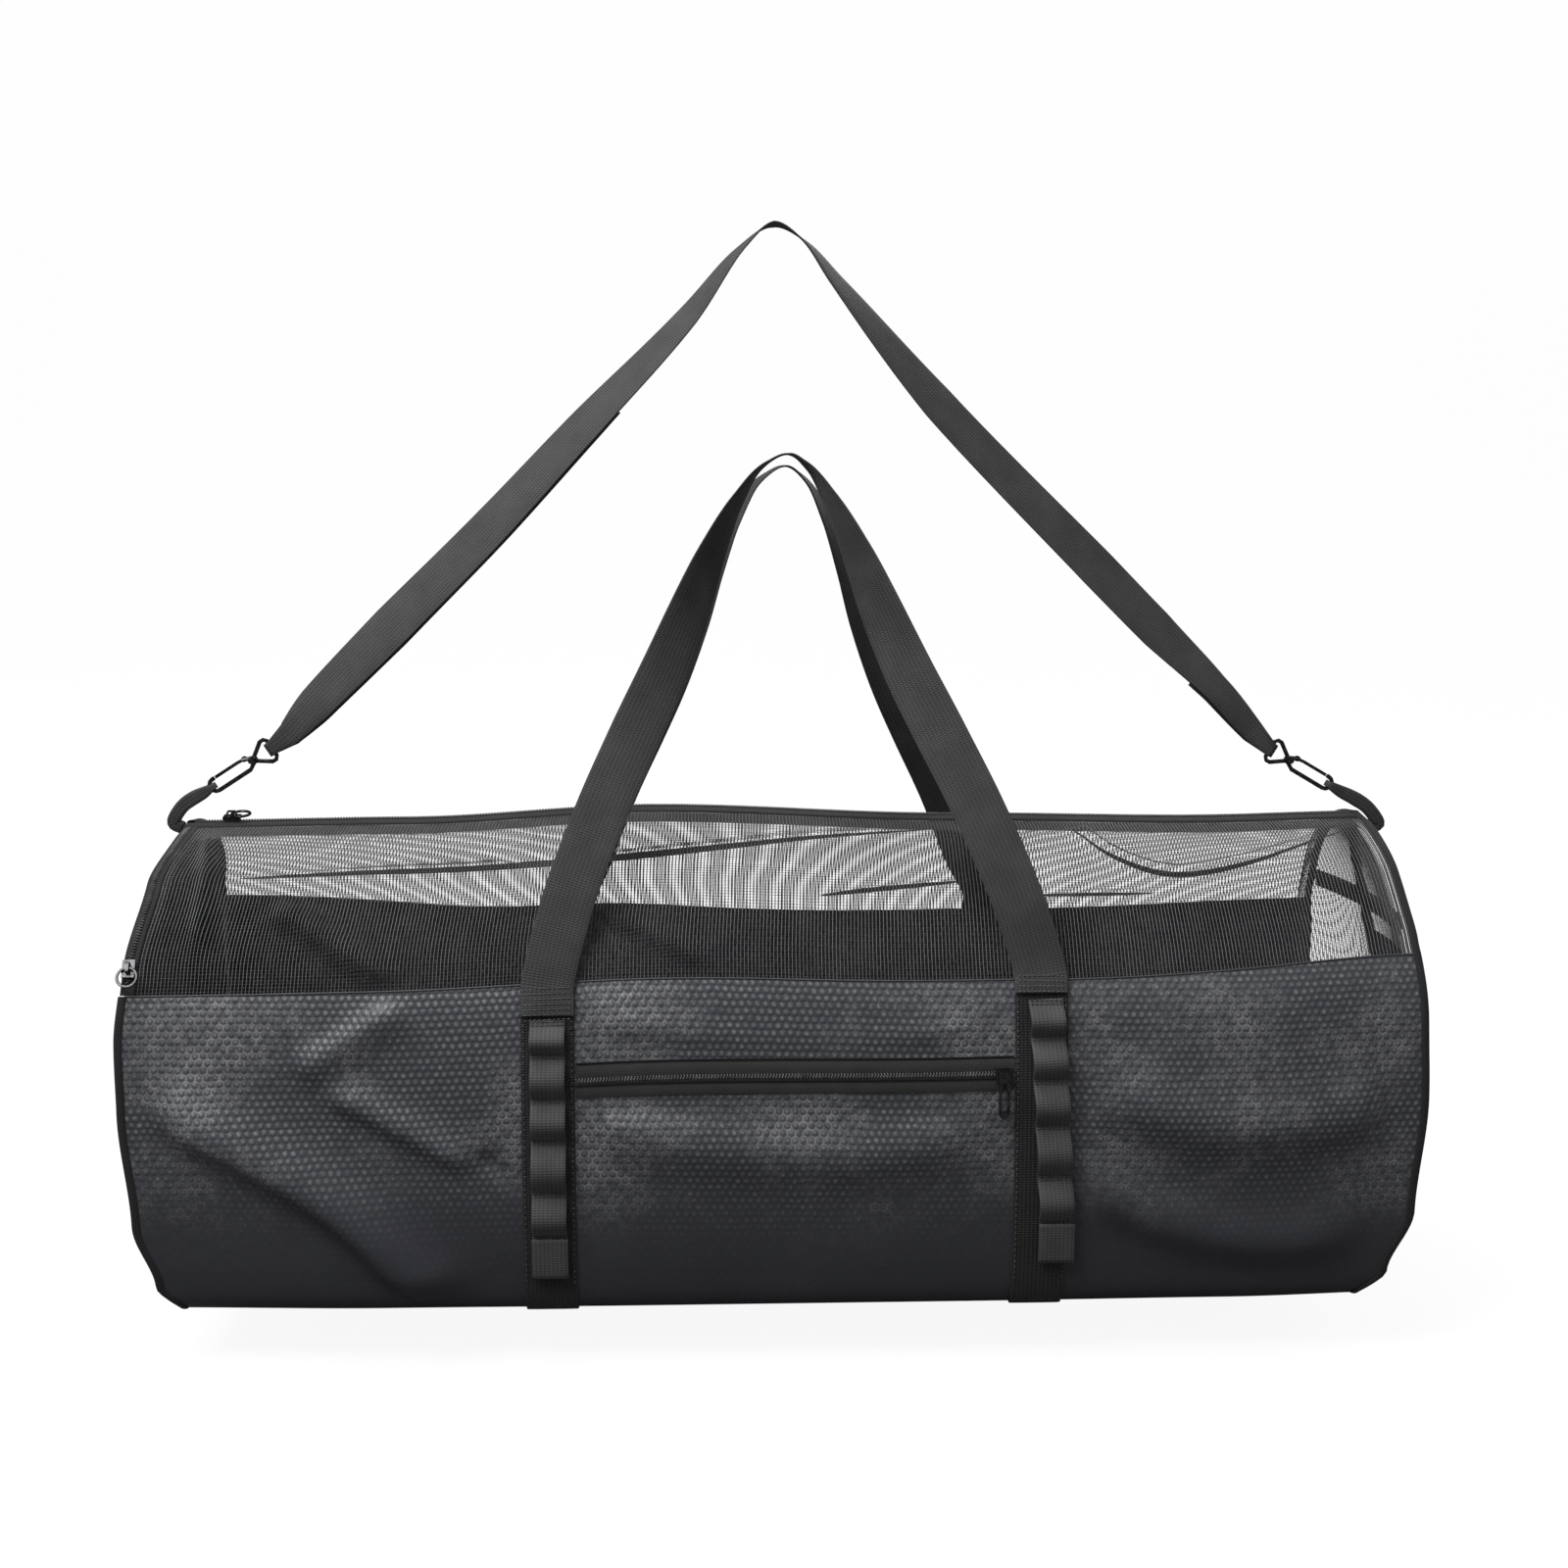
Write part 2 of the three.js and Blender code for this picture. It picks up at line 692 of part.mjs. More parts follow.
const tapeNear = halfCoil + coilGap;
addPart('pocket_zip_tape_upper', pocketBand(-tapeNear - tapeShare, -tapeNear, 1), zipBlack);
addPart('pocket_zip_tape_lower', pocketBand(tapeNear, tapeNear + tapeShare, 1), zipBlack);
addPart('pocket_zip_coil', pocketBand(-halfCoil, halfCoil, coilRise), zipBlack);

// Pocket slider: a body over the coil, with a headed rivet that the pull hangs from.
const sliderLength = 13;
const sliderWidth = 9;
const sliderThick = 2.6;
const pocketSliderInset = 7.5;
const pocketSliderX = pocketStop - pocketSliderInset;
const pocketSliderLift = layerGap + coilRise + 0.4;
const rivetRadius = 1.3;
const rivetHead = 2.4;
const pullThick = 1.6;
const pullGap = 0.45;
const pullHole = 1.8;
const pullLength = 36;
const pullWidth = 8;
const pullSlot = 3.6;

function roundedBar(length, width, thick, top) {
  const radius = width / 2;
  const shape = new THREE.Shape();
  shape.absarc(0, top - radius, radius, 0, Math.PI, false);
  shape.absarc(0, top - length + radius, radius, Math.PI, 2 * Math.PI, false);
  return new THREE.ExtrudeGeometry(shape, { depth: thick, bevelEnabled: false, curveSegments: 8 });
}

function pocketSlider() {
  const body = new THREE.BoxGeometry(sliderLength, sliderWidth, sliderThick);
  body.translate(0, 0, pocketSliderLift + sliderThick / 2);
  const post = pullThick + 2 * pullGap + 0.8;
  const rivet = new THREE.CylinderGeometry(rivetRadius, rivetRadius, post + 1, 12);
  rivet.rotateX(Math.PI / 2).translate(0, 0, pocketSliderLift + sliderThick + post / 2 - 0.5);
  const head = new THREE.CylinderGeometry(rivetHead, rivetHead, 1, 12);
  head.rotateX(Math.PI / 2).translate(0, 0, pocketSliderLift + sliderThick + pullThick + 2 * pullGap + 0.5);
  return onSkin(joined(body, rivet, head), pocketSliderX, pocketGirth(pocketSliderX));
}

function pocketPull() {
  const bar = roundedBar(pullLength, pullWidth, pullThick, pullWidth / 2);
  const hole = new THREE.CylinderGeometry(pullHole, pullHole, 3 * pullThick, 12);
  hole.rotateX(Math.PI / 2);
  const slot = roundedBar(pullLength * 0.58, pullSlot, 3 * pullThick, -pullWidth * 0.7);
  slot.translate(0, 0, -pullThick);
  const pull = cut(bar, hole, slot);
  pull.translate(0, 0, pocketSliderLift + sliderThick + pullGap);
  return onSkin(pull, pocketSliderX, pocketGirth(pocketSliderX));
}

addPart('pocket_zip_slider', pocketSlider(), darkMetal);
addPart('pocket_zip_pull', pocketPull(), darkMetal);

// Main and end sliders carry small rings on an arched bridge.
const ringRadius = 7;
const ringWire = 1.1;
const bridgeInside = 3.4;
const bridgeWall = 1.1;
const bridgeSpan = 8;
const bridgeWidth = 2.4;
const bridgeRoot = 0.3;

function bridge(lift) {
  const arch = new THREE.Shape();
  const half = bridgeSpan / 2;
  arch.moveTo(-half, 0);
  arch.lineTo(half, 0);
  arch.lineTo(half, bridgeInside);
  arch.lineTo(half - bridgeWall, bridgeInside + bridgeWall);
  arch.lineTo(-half + bridgeWall, bridgeInside + bridgeWall);
  arch.lineTo(-half, bridgeInside);
  const inside = new THREE.Path();
  inside.moveTo(-half + bridgeWall, bridgeRoot);
  inside.lineTo(-half + bridgeWall, bridgeInside);
  inside.lineTo(half - bridgeWall, bridgeInside);
  inside.lineTo(half - bridgeWall, bridgeRoot);
  arch.holes.push(inside);
  const body = new THREE.ExtrudeGeometry(arch, { depth: bridgeWidth, bevelEnabled: false });
  return body.rotateX(Math.PI / 2).translate(0, bridgeWidth / 2, lift - bridgeRoot);
}

function ringSlider(lift, turn) {
  const body = new THREE.BoxGeometry(sliderLength, sliderWidth, sliderThick);
  body.translate(0, 0, lift + sliderThick / 2);
  return joined(body, bridge(lift + sliderThick)).rotateZ(turn);
}

function pullRing(lift, turn) {
  const ring = new THREE.TorusGeometry(ringRadius, ringWire, 6, 18);
  const height = lift + sliderThick + (bridgeInside - bridgeRoot) / 2;
  return ring.translate(-ringRadius, 0, height).rotateZ(turn);
}

const mainSliderInset = 34.2;
const mainSliderX = endX('left', 0) + mainSliderInset;
const mainSliderLift = coilRise + 0.5;
addPart('main_zip_slider', onSkin(ringSlider(mainSliderLift, 0), mainSliderX, 0.0005), darkMetal);
addPart('main_zip_pull', onSkin(pullRing(mainSliderLift, Math.PI), mainSliderX, 0.0005), darkMetal);

const endSliderGirth = girthAtHeight(256);
const endSliderX = endX('left', endSliderGirth) + endCoilInset + coilWidth / 2;
const endSliderLift = layerGap + coilRise - 0.1;
const hang = Math.PI / 2;
addPart('end_zip_slider', onSkin(ringSlider(endSliderLift, hang), endSliderX, endSliderGirth), darkMetal);
addPart('end_zip_pull', onSkin(pullRing(endSliderLift, hang), endSliderX, endSliderGirth), darkMetal);

// Snap hooks lie in the xz plane. Each has its own frame: ahead runs from the strap's eye
// to the nose, and side is square to it.
const hookSides = 6;
const eyeHalf = 9;
const eyeStraight = 5;
const knuckleStart = 14;
const knuckleEnd = 20;
const knuckleRadius = 3.4;
const gateHinge = 22.5;
const gateTip = 49;
const noseTip = 49.6;
const noseRadius = 5;
const hookReach = { left: 66.2, right: 71.6 };
const hookRise = { left: 54.0, right: 49.7 };
const hookPlaces = {
  left: {
    eye: new THREE.Vector3(endX('left', 0) + hookReach.left, 0, bagHeight + hookRise.left),
    ahead: new THREE.Vector3(-0.84, 0, -0.543),
  },
  right: {
    eye: new THREE.Vector3(endX('right', 0) - hookReach.right, 0, bagHeight + hookRise.right),
    ahead: new THREE.Vector3(0.86, 0, -0.51),
  },
};
const planeNormal = new THREE.Vector3(0, 1, 0);

function hookFrame(end) {
  const ahead = hookPlaces[end].ahead.clone().normalize();
  const side = new THREE.Vector3(-ahead.z, 0, ahead.x).multiplyScalar(end === 'left' ? -1 : 1);
  const at = (along, across) => hookPlaces[end].eye.clone()
    .addScaledVector(ahead, along)
    .addScaledVector(side, across);
  return { ahead, side, at };
}

function hookBody(end) {
  const { ahead, at } = hookFrame(end);
  const eye = [
    [0, -eyeHalf + 2], [0, eyeHalf - 2], [2, eyeHalf], [eyeStraight, eyeHalf],
    [knuckleStart + 1, 2], [knuckleStart + 1, -2], [eyeStraight, -eyeHalf], [2, -eyeHalf],
  ].map(([along, across]) => at(along, across));
  const spine = [at(knuckleEnd - 2, -hookHalfGap * 0.4), at(knuckleEnd + 3, -hookHalfGap)];
  spine.push(at(hookLength - noseRadius, -hookHalfGap));
  for (let i = 1; i < 6; i += 1) {
    const turn = (Math.PI * i) / 6;
    spine.push(at(hookLength - noseRadius + noseRadius * Math.sin(turn), -hookHalfGap * Math.cos(turn)));
  }
  spine.push(at(hookLength - noseRadius, hookHalfGap));
  spine.push(at(noseTip + 0.4, hookHalfGap));
  const knuckle = new THREE.CylinderGeometry(knuckleRadius, knuckleRadius, knuckleEnd - knuckleStart, 10);
  knuckle.applyQuaternion(new THREE.Quaternion().setFromUnitVectors(planeNormal, ahead));
  knuckle.translate(...at((knuckleStart + knuckleEnd) / 2, 0).toArray());
  const cheeks = [-1, 1].map((sign) => {
    const cheek = wire(
      [at(knuckleEnd - 3, hookHalfGap * 0.35), at(gateHinge + 1.6, hookHalfGap)],
      1.5,
      4,
      planeNormal,
    );
    return cheek.translate(0, sign * 3.2, 0);
  });
  const pin = new THREE.CylinderGeometry(0.9, 0.9, 6.4, 8);
  pin.translate(...at(gateHinge, hookHalfGap * 0.9).toArray());
  const shoulder = new THREE.CylinderGeometry(3.0, 3.0, 9.0, 8);
  shoulder.translate(...at(knuckleEnd - 2.4, 0.6).toArray());
  return joined(
    wire(eye, hookWire, hookSides, planeNormal, true),
    wire(spine, hookWire, hookSides, planeNormal),
    knuckle,
    shoulder,
    ...cheeks,
    pin,
  );
}

function hookGate(end) {
  const { at } = hookFrame(end);
  const rod = wire(
    [at(gateHinge + 1.2, hookHalfGap * 0.9), at(gateHinge + 6, hookHalfGap), at(gateTip, hookHalfGap)],
    gateWire,
    hookSides,
    planeNormal,
  );
  const centre = at(gateHinge, hookHalfGap * 0.9).toArray();
  const barrel = new THREE.CylinderGeometry(2.3, 2.3, 2.6, 12).translate(...centre);
  const bore = new THREE.CylinderGeometry(1.3, 1.3, 8, 12).translate(...centre);
  return cut(joined(rod, barrel), bore);
}

for (const end of ['left', 'right']) {
  addPart(`hook_${end}`, hookBody(end), darkMetal);
  addPart(`hook_gate_${end}`, hookGate(end), darkMetal);
}

// Webbing tabs: a loop of webbing sewn to the top of each rim, round the nose of its hook.
// along runs on from the nose, drop is the fall below the hook's line, face the spread.
const tabRows = [
  { along: -4.3, drop: 0.0, face: 0.0, width: 5.0 },
  { along: -2.2, drop: 0.0, face: 3.4, width: 5.0 },
  { along: 0.2, drop: 0.0, face: 4.2, width: 6.0 },
  { along: 7.0, drop: 0.0, face: 3.8, width: 9.5 },
  { along: 16.0, drop: -1.0, face: 4.2, width: 11.0 },
  { along: 25.0, drop: 0.5, face: 3.6, width: 10.0 },
  { along: 31.0, drop: 8.0, face: 2.6, width: 9.5 },
];
const tabStretch = { left: 1.12, right: 1.45 };
const tabFoot = {
  left: { along: 22.6, drop: 19.0, face: 2.2, width: 9.0 },
  right: { along: 23.0, drop: 19.0, face: 2.2, width: 9.0 },
};

function endTab(end) {
  const { side, at } = hookFrame(end);
  const nose = hookLength - 0.4;
  const place = (row, sign) => {
    const point = at(nose + row.along * (row.along > 0 ? tabStretch[end] : 1), 0);
    point.z -= row.drop;
    point.y = sign * row.face;
    return { at: point, across: side, width: row.width };
  };
  const rows = [...tabRows, tabFoot[end]];
  const front = rows.slice().reverse().map((row) => place(row, -1));
  const back = rows.slice(1).map((row) => place(row, 1));
  return ribbon(front.concat(back), webbing);
}

for (const end of ['left', 'right']) {
  addPart(`tab_${end}`, endTab(end), webbingGrey);
}

// Shoulder strap. along is a share of the way from the bag's middle to the hook's eye, rise a
// share of the way from the eye to shoulderRise, width a share of strapWidth. turn is 0 where
// the webbing faces the viewer and 1 where it is edge on.
const strapRoute = [
  { along: -0.9637, rise: 0.0276, turn: 0.10, width: 0.50 },
  { along: -0.9119, rise: 0.0829, turn: 0.25, width: 0.79 },
  { along: -0.7565, rise: 0.2337, turn: 0.35, width: 1.00 },
  { along: -0.5570, rise: 0.4246, turn: 0.42, width: 1.00 },
  { along: -0.3627, rise: 0.6231, turn: 0.52, width: 1.00 },
  { along: -0.1658, rise: 0.8216, turn: 0.70, width: 1.00 },
  { along: -0.0622, rise: 0.9472, turn: 0.90, width: 1.00 },
  { along: 0.0026, rise: 0.9925, turn: 1.00, width: 1.00 },
  { along: 0.0615, rise: 0.9627, turn: 0.92, width: 1.00 },
  { along: 0.1282, rise: 0.8857, turn: 0.78, width: 1.00 },
  { along: 0.3231, rise: 0.6644, turn: 0.48, width: 1.00 },
  { along: 0.6436, rise: 0.3512, turn: 0.38, width: 1.00 },
  { along: 0.7641, rise: 0.2344, turn: 0.40, width: 1.00 },
  { along: 0.8872, rise: 0.1201, turn: 0.45, width: 0.79 },
  { along: 0.9641, rise: 0.0355, turn: 0.20, width: 0.50 },
];
const strapSteps = 34;
const rearSpread = 3.4;

// One turn of webbing round the eye bar, from the front face to the back.
function eyeTurn(end) {
  const { ahead, side, at } = hookFrame(end);
  const radius = hookWire + layerGap + webbing / 2 + 0.4;
  const places = [];
  for (let i = 0; i <= 6; i += 1) {
    const turn = (Math.PI * i) / 6;
    const point = at(radius * Math.sin(turn), 0);
    point.y = -radius * Math.cos(turn);
    places.push({ at: point, across: side.clone(), width: 11 });
  }
  return places;
}

function strapAcross(tangent, turn) {
  const square = new THREE.Vector3(-tangent.z, 0, tangent.x);
  if (square.z < 0) {
    square.multiplyScalar(-1);
  }
  const angle = (turn * Math.PI) / 2;
  return square.multiplyScalar(Math.cos(angle)).add(new THREE.Vector3(0, Math.sin(angle), 0));
}

function routePlaces() {
  const path = new THREE.CatmullRomCurve3(strapRoute.map((row) => {
    const { eye } = hookPlaces[row.along < 0 ? 'left' : 'right'];
    return new THREE.Vector3(Math.abs(row.along) * eye.x, 0, lerp(eye.z, shoulderRise, row.rise));
  }));
  const places = [];
  for (let i = 0; i <= strapSteps; i += 1) {
    const t = i / strapSteps;
    const slot = t * (strapRoute.length - 1);
    const low = Math.min(Math.floor(slot), strapRoute.length - 2);
    const part = slot - low;
    const at = path.getPoint(t);
    const tangent = path.getTangent(t);
    const turn = lerp(strapRoute[low].turn, strapRoute[low + 1].turn, part);
    const width = strapWidth * lerp(strapRoute[low].width, strapRoute[low + 1].width, part);
    places.push({ at, tangent, across: strapAcross(tangent, turn), width });
  }
  return places;
}

function shoulderStrap() {
  const route = routePlaces();
  const shift = (place, distance) => {
    const face = place.tangent.clone().cross(place.across).normalize();
    if (face.y < 0) {
      face.multiplyScalar(-1);
    }
    return { at: place.at.clone().addScaledVector(face, distance), across: place.across, width: place.width };
  };
  const doubled = 11;
  const ease = (i, reach) => rearSpread * Math.max(1 - i / reach, 0.45);
  const rear = route.slice(0, doubled).map((place, i) => shift(place, ease(i, doubled)));
  const main = route.map((place, i) => shift(place, i < doubled ? -ease(i, doubled) * 0.5 : 0));
  const returned = route.slice(-4).map((place, i) => shift(place, 2.2 + 0.4 * i));
  const left = eyeTurn('left').reverse();
  const right = eyeTurn('right');
  return ribbon([...rear.reverse(), ...left, ...main, ...right, ...returned.reverse()], webbing);
}

addPart('shoulder_strap', shoulderStrap(), webbingGrey);

// Straps on the outside of the right end.
const endStrapWidth = 25;
const endStrapBottom = 220;
const crossHeight = 277;
const crossWidth = 14;

function endStrapVertical() {
  const rows = clothRows(panelTop + 0.02, girthAtHeight(endStrapBottom));
  return thinBody(rows.length - 1, 1, (row, column, layer) => {
    const edge = Math.abs(panelEdge('right', rows[row]).y);
    const across = Math.min(endStrapWidth / 2 / edge, 0.9) * (column === 0 ? -1 : 1);
    return panelPoint('right', rows[row], across, layerGap + (layer === 0 ? webbing : 0));
  });
}

function endStrapCross() {
  const top = girthAtHeight(crossHeight + crossWidth / 2);
  const bottom = girthAtHeight(crossHeight - crossWidth / 2);
  const lift = 2.6 * layerGap + webbing;
  return thinBody(panelColumns, 1, (row, column, layer) => (
    panelPoint('right', column === 0 ? top : bottom, -0.86 + (1.72 * row) / panelColumns, lift + (layer === 0 ? webbing : 0))
  ));
}

addPart('end_strap_vertical', endStrapVertical(), webbingGrey);
addPart('end_strap_cross', endStrapCross(), webbingGrey);

// Centre the bag's outline on the origin.
const outline = new THREE.Box3().setFromObject(bag);
const centre = outline.getCenter(new THREE.Vector3());
bag.position.set(-centre.x, -centre.y, -outline.min.z);

export default bag;
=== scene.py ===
"""Looks for the mesh dive gear bag. The tables repeat the part's own sizes, in millimetres."""

import math

import bmesh
import bpy
import numpy as np
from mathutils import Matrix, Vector


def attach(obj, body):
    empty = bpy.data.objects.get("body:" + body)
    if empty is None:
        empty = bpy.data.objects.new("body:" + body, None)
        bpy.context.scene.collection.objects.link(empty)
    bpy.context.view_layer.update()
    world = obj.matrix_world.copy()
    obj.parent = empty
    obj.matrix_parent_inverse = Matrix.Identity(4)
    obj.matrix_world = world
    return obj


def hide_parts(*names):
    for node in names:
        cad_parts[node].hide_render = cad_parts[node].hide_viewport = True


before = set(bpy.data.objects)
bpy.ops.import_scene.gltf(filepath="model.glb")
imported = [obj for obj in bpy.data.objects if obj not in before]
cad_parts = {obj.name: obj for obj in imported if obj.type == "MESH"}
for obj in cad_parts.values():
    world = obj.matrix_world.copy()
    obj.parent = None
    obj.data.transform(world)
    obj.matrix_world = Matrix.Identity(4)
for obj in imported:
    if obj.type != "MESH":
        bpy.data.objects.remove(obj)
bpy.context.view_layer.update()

# Sizes of the part, millimetres
CENTRING = np.array([-0.482, 5.159, 0.0])
HALF_LENGTH = 472
HALF_DEPTH = 172
BAG_HEIGHT = 341
CLOTH_WALL = 1.6
LAYER_GAP = 0.5
RIM_WIDTH = 11
WEBBING = 1.6
STRAP_WIDTH = 38
DAISY_WIDTH = 25
STRAP_SPACING = 353
STRAP_MIDDLE = 11
FABRIC_EDGE = 241
EDGE_BEND = 0.09
HANDLE_RISE = 619
TAPE_WIDTH = 12
COIL_WIDTH = 5
POCKET_ZIP_HEIGHT = 176.5
POCKET_ZIP_CLIMB = 6
FLOOR_LIFT = WEBBING + LAYER_GAP
STRAP_X = {"left": STRAP_MIDDLE - STRAP_SPACING / 2, "right": STRAP_MIDDLE + STRAP_SPACING / 2}
BODY_HEIGHT = BAG_HEIGHT - FLOOR_LIFT
END_SIGN = {"left": -1, "right": 1}

# out, up: half of the cross-section from the ridge down to the flat bottom
SECTION = np.array([
    (0.00, 1.000), (0.30, 0.978), (0.58, 0.912), (0.80, 0.812), (0.93, 0.705), (0.985, 0.560),
    (1.000, 0.360), (0.995, 0.200), (0.975, 0.090), (0.940, 0.024), (0.890, 0.000),
])
# up, left, right: how far each end reaches
END_REACH = np.array([
    (0.00, 0.925, 0.910), (0.06, 0.955, 0.948), (0.20, 0.985, 0.985), (0.45, 1.000, 1.000),
    (0.60, 1.002, 0.998), (0.75, 0.994, 0.990), (0.91, 0.978, 0.984), (1.00, 0.958, 0.978),
])
# along, depth, height: fullness along the bag
FULLNESS = np.array([
    (-1.0, 0.94, 0.990), (-0.6, 0.99, 0.996), (-0.2, 1.00, 1.022), (0.3, 1.00, 0.998),
    (0.7, 0.99, 0.990), (1.0, 0.94, 0.998),
])
# along, front, back: how the fabric's top edge climbs
EDGE_CLIMB = np.array([
    (-1.0, -0.008, 0.044), (-0.4, 0.002, -0.016), (0.0, 0.008, -0.036), (0.4, 0.014, -0.026),
    (1.0, 0.056, 0.004),
])
# along, up, side, long, tall, lift: broad dents and swells
DENTS = [
    (-0.72, 0.24, -1, 0.16, 0.30, -0.030),
    (-0.88, 0.45, -1, 0.12, 0.30, 0.012),
    (0.70, 0.50, -1, 0.20, 0.28, 0.020),
    (0.68, 0.90, -1, 0.16, 0.12, -0.022),
    (0.66, 0.30, 1, 0.20, 0.28, 0.016),
]
# Dents fade out above this share of the half girth
DENT_FADE = 0.7


def catmull(points, steps):
    """A smooth line through the points, with the same number of steps in each stretch."""
    points = np.asarray(points, float)
    first = 2 * points[0] - points[1]
    last = 2 * points[-1] - points[-2]
    p = np.vstack([first, points, last])
    t = np.linspace(0, 1, steps, endpoint=False)[:, None]
    out = []
    for i in range(1, len(p) - 2):
        p0, p1, p2, p3 = p[i - 1:i + 3]
        d0, d1, d2 = (max(np.linalg.norm(b - a) ** 0.5, 1e-4) for a, b in ((p0, p1), (p1, p2), (p2, p3)))
        leave = ((p1 - p0) / d0 - (p2 - p0) / (d0 + d1) + (p2 - p1) / d1) * d1
        arrive = ((p2 - p1) / d1 - (p3 - p1) / (d1 + d2) + (p3 - p2) / d2) * d1
        square = -3 * p1 + 3 * p2 - 2 * leave - arrive
        cube = 2 * p1 - 2 * p2 + leave + arrive
        out.append(p1 + leave * t + square * t ** 2 + cube * t ** 3)
    out.append(points[-1:])
    return np.vstack(out)


def length_along(line):
    """Distance from the start of a line to each of its points."""
    return np.concatenate([[0], np.cumsum(np.linalg.norm(np.diff(line, axis=0), axis=1))])


def read_line(distance, lengths, values):
    """Three-part values at distances along a line."""
    return np.stack([np.interp(distance, lengths, values[:, k]) for k in range(3)], -1)


def smoothstep(t):
    """Rises smoothly from 0 at 0 to 1 at 1, and stays level beyond."""
    t = np.clip(t, 0, 1)
    return t * t * (3 - 2 * t)


def read_table(table, at, column):
    """Eases from row to row of a table whose first column is where."""
    at = np.asarray(at, float)
    keys = table[:, 0]
    i = np.clip(np.searchsorted(keys, at) - 1, 0, len(keys) - 2)
    share = smoothstep((at - keys[i]) / (keys[i + 1] - keys[i]))
    return table[i, column] * (1 - share) + table[i + 1, column] * share


GIRTH_LINE = np.vstack([catmull(SECTION * (HALF_DEPTH, BODY_HEIGHT), 200), [(0, 0)]])
GIRTH_AT = length_along(GIRTH_LINE)
GIRTH_LENGTH = GIRTH_AT[-1]
GIRTH_AT = GIRTH_AT / GIRTH_LENGTH
TANGENT_REACH = 0.002


def half_girth(share):
    """Out and up of the section at a share of its length, with the direction there."""

    def spot(at):
        return (np.interp(at, GIRTH_AT, GIRTH_LINE[:, k]) for k in (0, 1))

    out, up = spot(share)
    out_ahead, up_ahead = spot(np.minimum(share + TANGENT_REACH, 1))
    out_back, up_back = spot(np.maximum(share - TANGENT_REACH, 0))
    size = np.hypot(out_ahead - out_back, up_ahead - up_back)
    return out, up, (out_ahead - out_back) / size, (up_ahead - up_back) / size


def side_share(girth):
    """How far down from the ridge, on either side, as a share of the half girth."""
    girth = np.asarray(girth, float)
    return np.where(girth <= 1, girth, 2 - girth)


def girth_at_height(height):
    """The share of the half girth whose height is this, on the side of the bag."""
    shares = np.linspace(0.1, 0.72, 4000)
    _, up, _, _ = half_girth(shares)
    return np.interp(-(np.asarray(height) - FLOOR_LIFT), -up, shares)


EDGE_GIRTH = float(girth_at_height(FABRIC_EDGE))
RIDGE_START = (COIL_WIDTH / 2 + LAYER_GAP + TAPE_WIDTH) / GIRTH_LENGTH
CORNER_END = 1 - (SECTION[-1][0] * HALF_DEPTH) / GIRTH_LENGTH


def dent_lift(along, up, side):
    lift = np.zeros(np.broadcast(along, up).shape)
    for place, rise, dent_side, long, tall, depth in DENTS:
        near = np.exp(-((along - place) / long) ** 2 - ((up - rise) / tall) ** 2)
        lift = lift + np.where(side == dent_side, depth * HALF_DEPTH * near, 0)
    return lift


def bag_point(x, girth, lift=0.0):
    """Points on the skin in millimetres: girth 0 at the ridge, 1 under the bag, 2 at the ridge again."""
    x, girth, lift = np.broadcast_arrays(*(np.asarray(value, float) for value in (x, girth, lift)))
    side = np.where(girth <= 1, -1, 1)
    share = np.clip(side_share(girth), 0, 1)
    out, up, out_step, up_step = half_girth(share)
    along = x / HALF_LENGTH
    wide = out * read_table(FULLNESS, along, 1)
    rise = up * read_table(FULLNESS, along, 2)
    dented = np.sin(math.pi * np.minimum(share / DENT_FADE, 1))
    total = lift + dent_lift(along, up / BODY_HEIGHT, side) * dented
    return np.stack([x, side * (wide - up_step * total), FLOOR_LIFT + rise + out_step * total], -1)


def bend_rows(x, girth):
    """Shifts rows near the fabric's top edge so that they follow it."""
    x, girth = np.broadcast_arrays(np.asarray(x, float), np.asarray(girth, float))
    front = girth <= 1
    share = side_share(girth)
    near = np.maximum(1 - np.abs(share - EDGE_GIRTH) / EDGE_BEND, 0)
    along = x / HALF_LENGTH
    climb = np.where(front, read_table(EDGE_CLIMB, along, 1), read_table(EDGE_CLIMB, along, 2))
    bent = share - near * climb * BAG_HEIGHT / GIRTH_LENGTH
    return np.where(front, bent, 2 - bent)


def grid_point(x, girth, lift=0.0):
    return bag_point(x, bend_rows(x, girth), lift)


def end_x(end, girth):
    _, up, _, _ = half_girth(side_share(girth))
    column = 1 if end == "left" else 2
    return END_SIGN[end] * read_table(END_REACH, up / BODY_HEIGHT, column) * HALF_LENGTH


# Creases and folds: side, then points of the line as (along the bag, girth distance from the
# ridge), then depth, half width above the line and half width below it, all in millimetres
NET_FOLDS = [
    (-1, [(-400, 102), (-284, 95.5), (-168, 95), (-104, 91), (-38, 78.6), (36, 58.7), (125, 37)],
     7.0, 3.2, 4.5),
    (-1, [(30, 128), (76, 119.5), (140, 110)], 3.0, 2.5, 3.0),
    (-1, [(180, 125), (228, 123), (280, 120)], 4.0, 2.5, 3.0),
    (-1, [(195, 14), (220, 24), (250, 76), (290, 99), (352, 88), (440, 46)], 9.0, 7.0, 9.0),
    (-1, [(-150, 138), (-110, 154), (-80, 170), (-45, 189)], 6.0, 12.0, 8.0),
    (-1, [(-372, 128), (-340, 150), (-300, 178), (-262, 196)], 8.0, 12.0, 10.0),
    (-1, [(-430, 30), (-420, 100), (-416, 190)], 5.0, 6.0, 7.0),
    (-1, [(-448, 40), (-445, 110), (-446, 190)], 4.0, 5.0, 5.0),
    (1, [(-380, 120), (-200, 108), (0, 104), (200, 112), (380, 104)], 6.0, 14.0, 14.0),
]
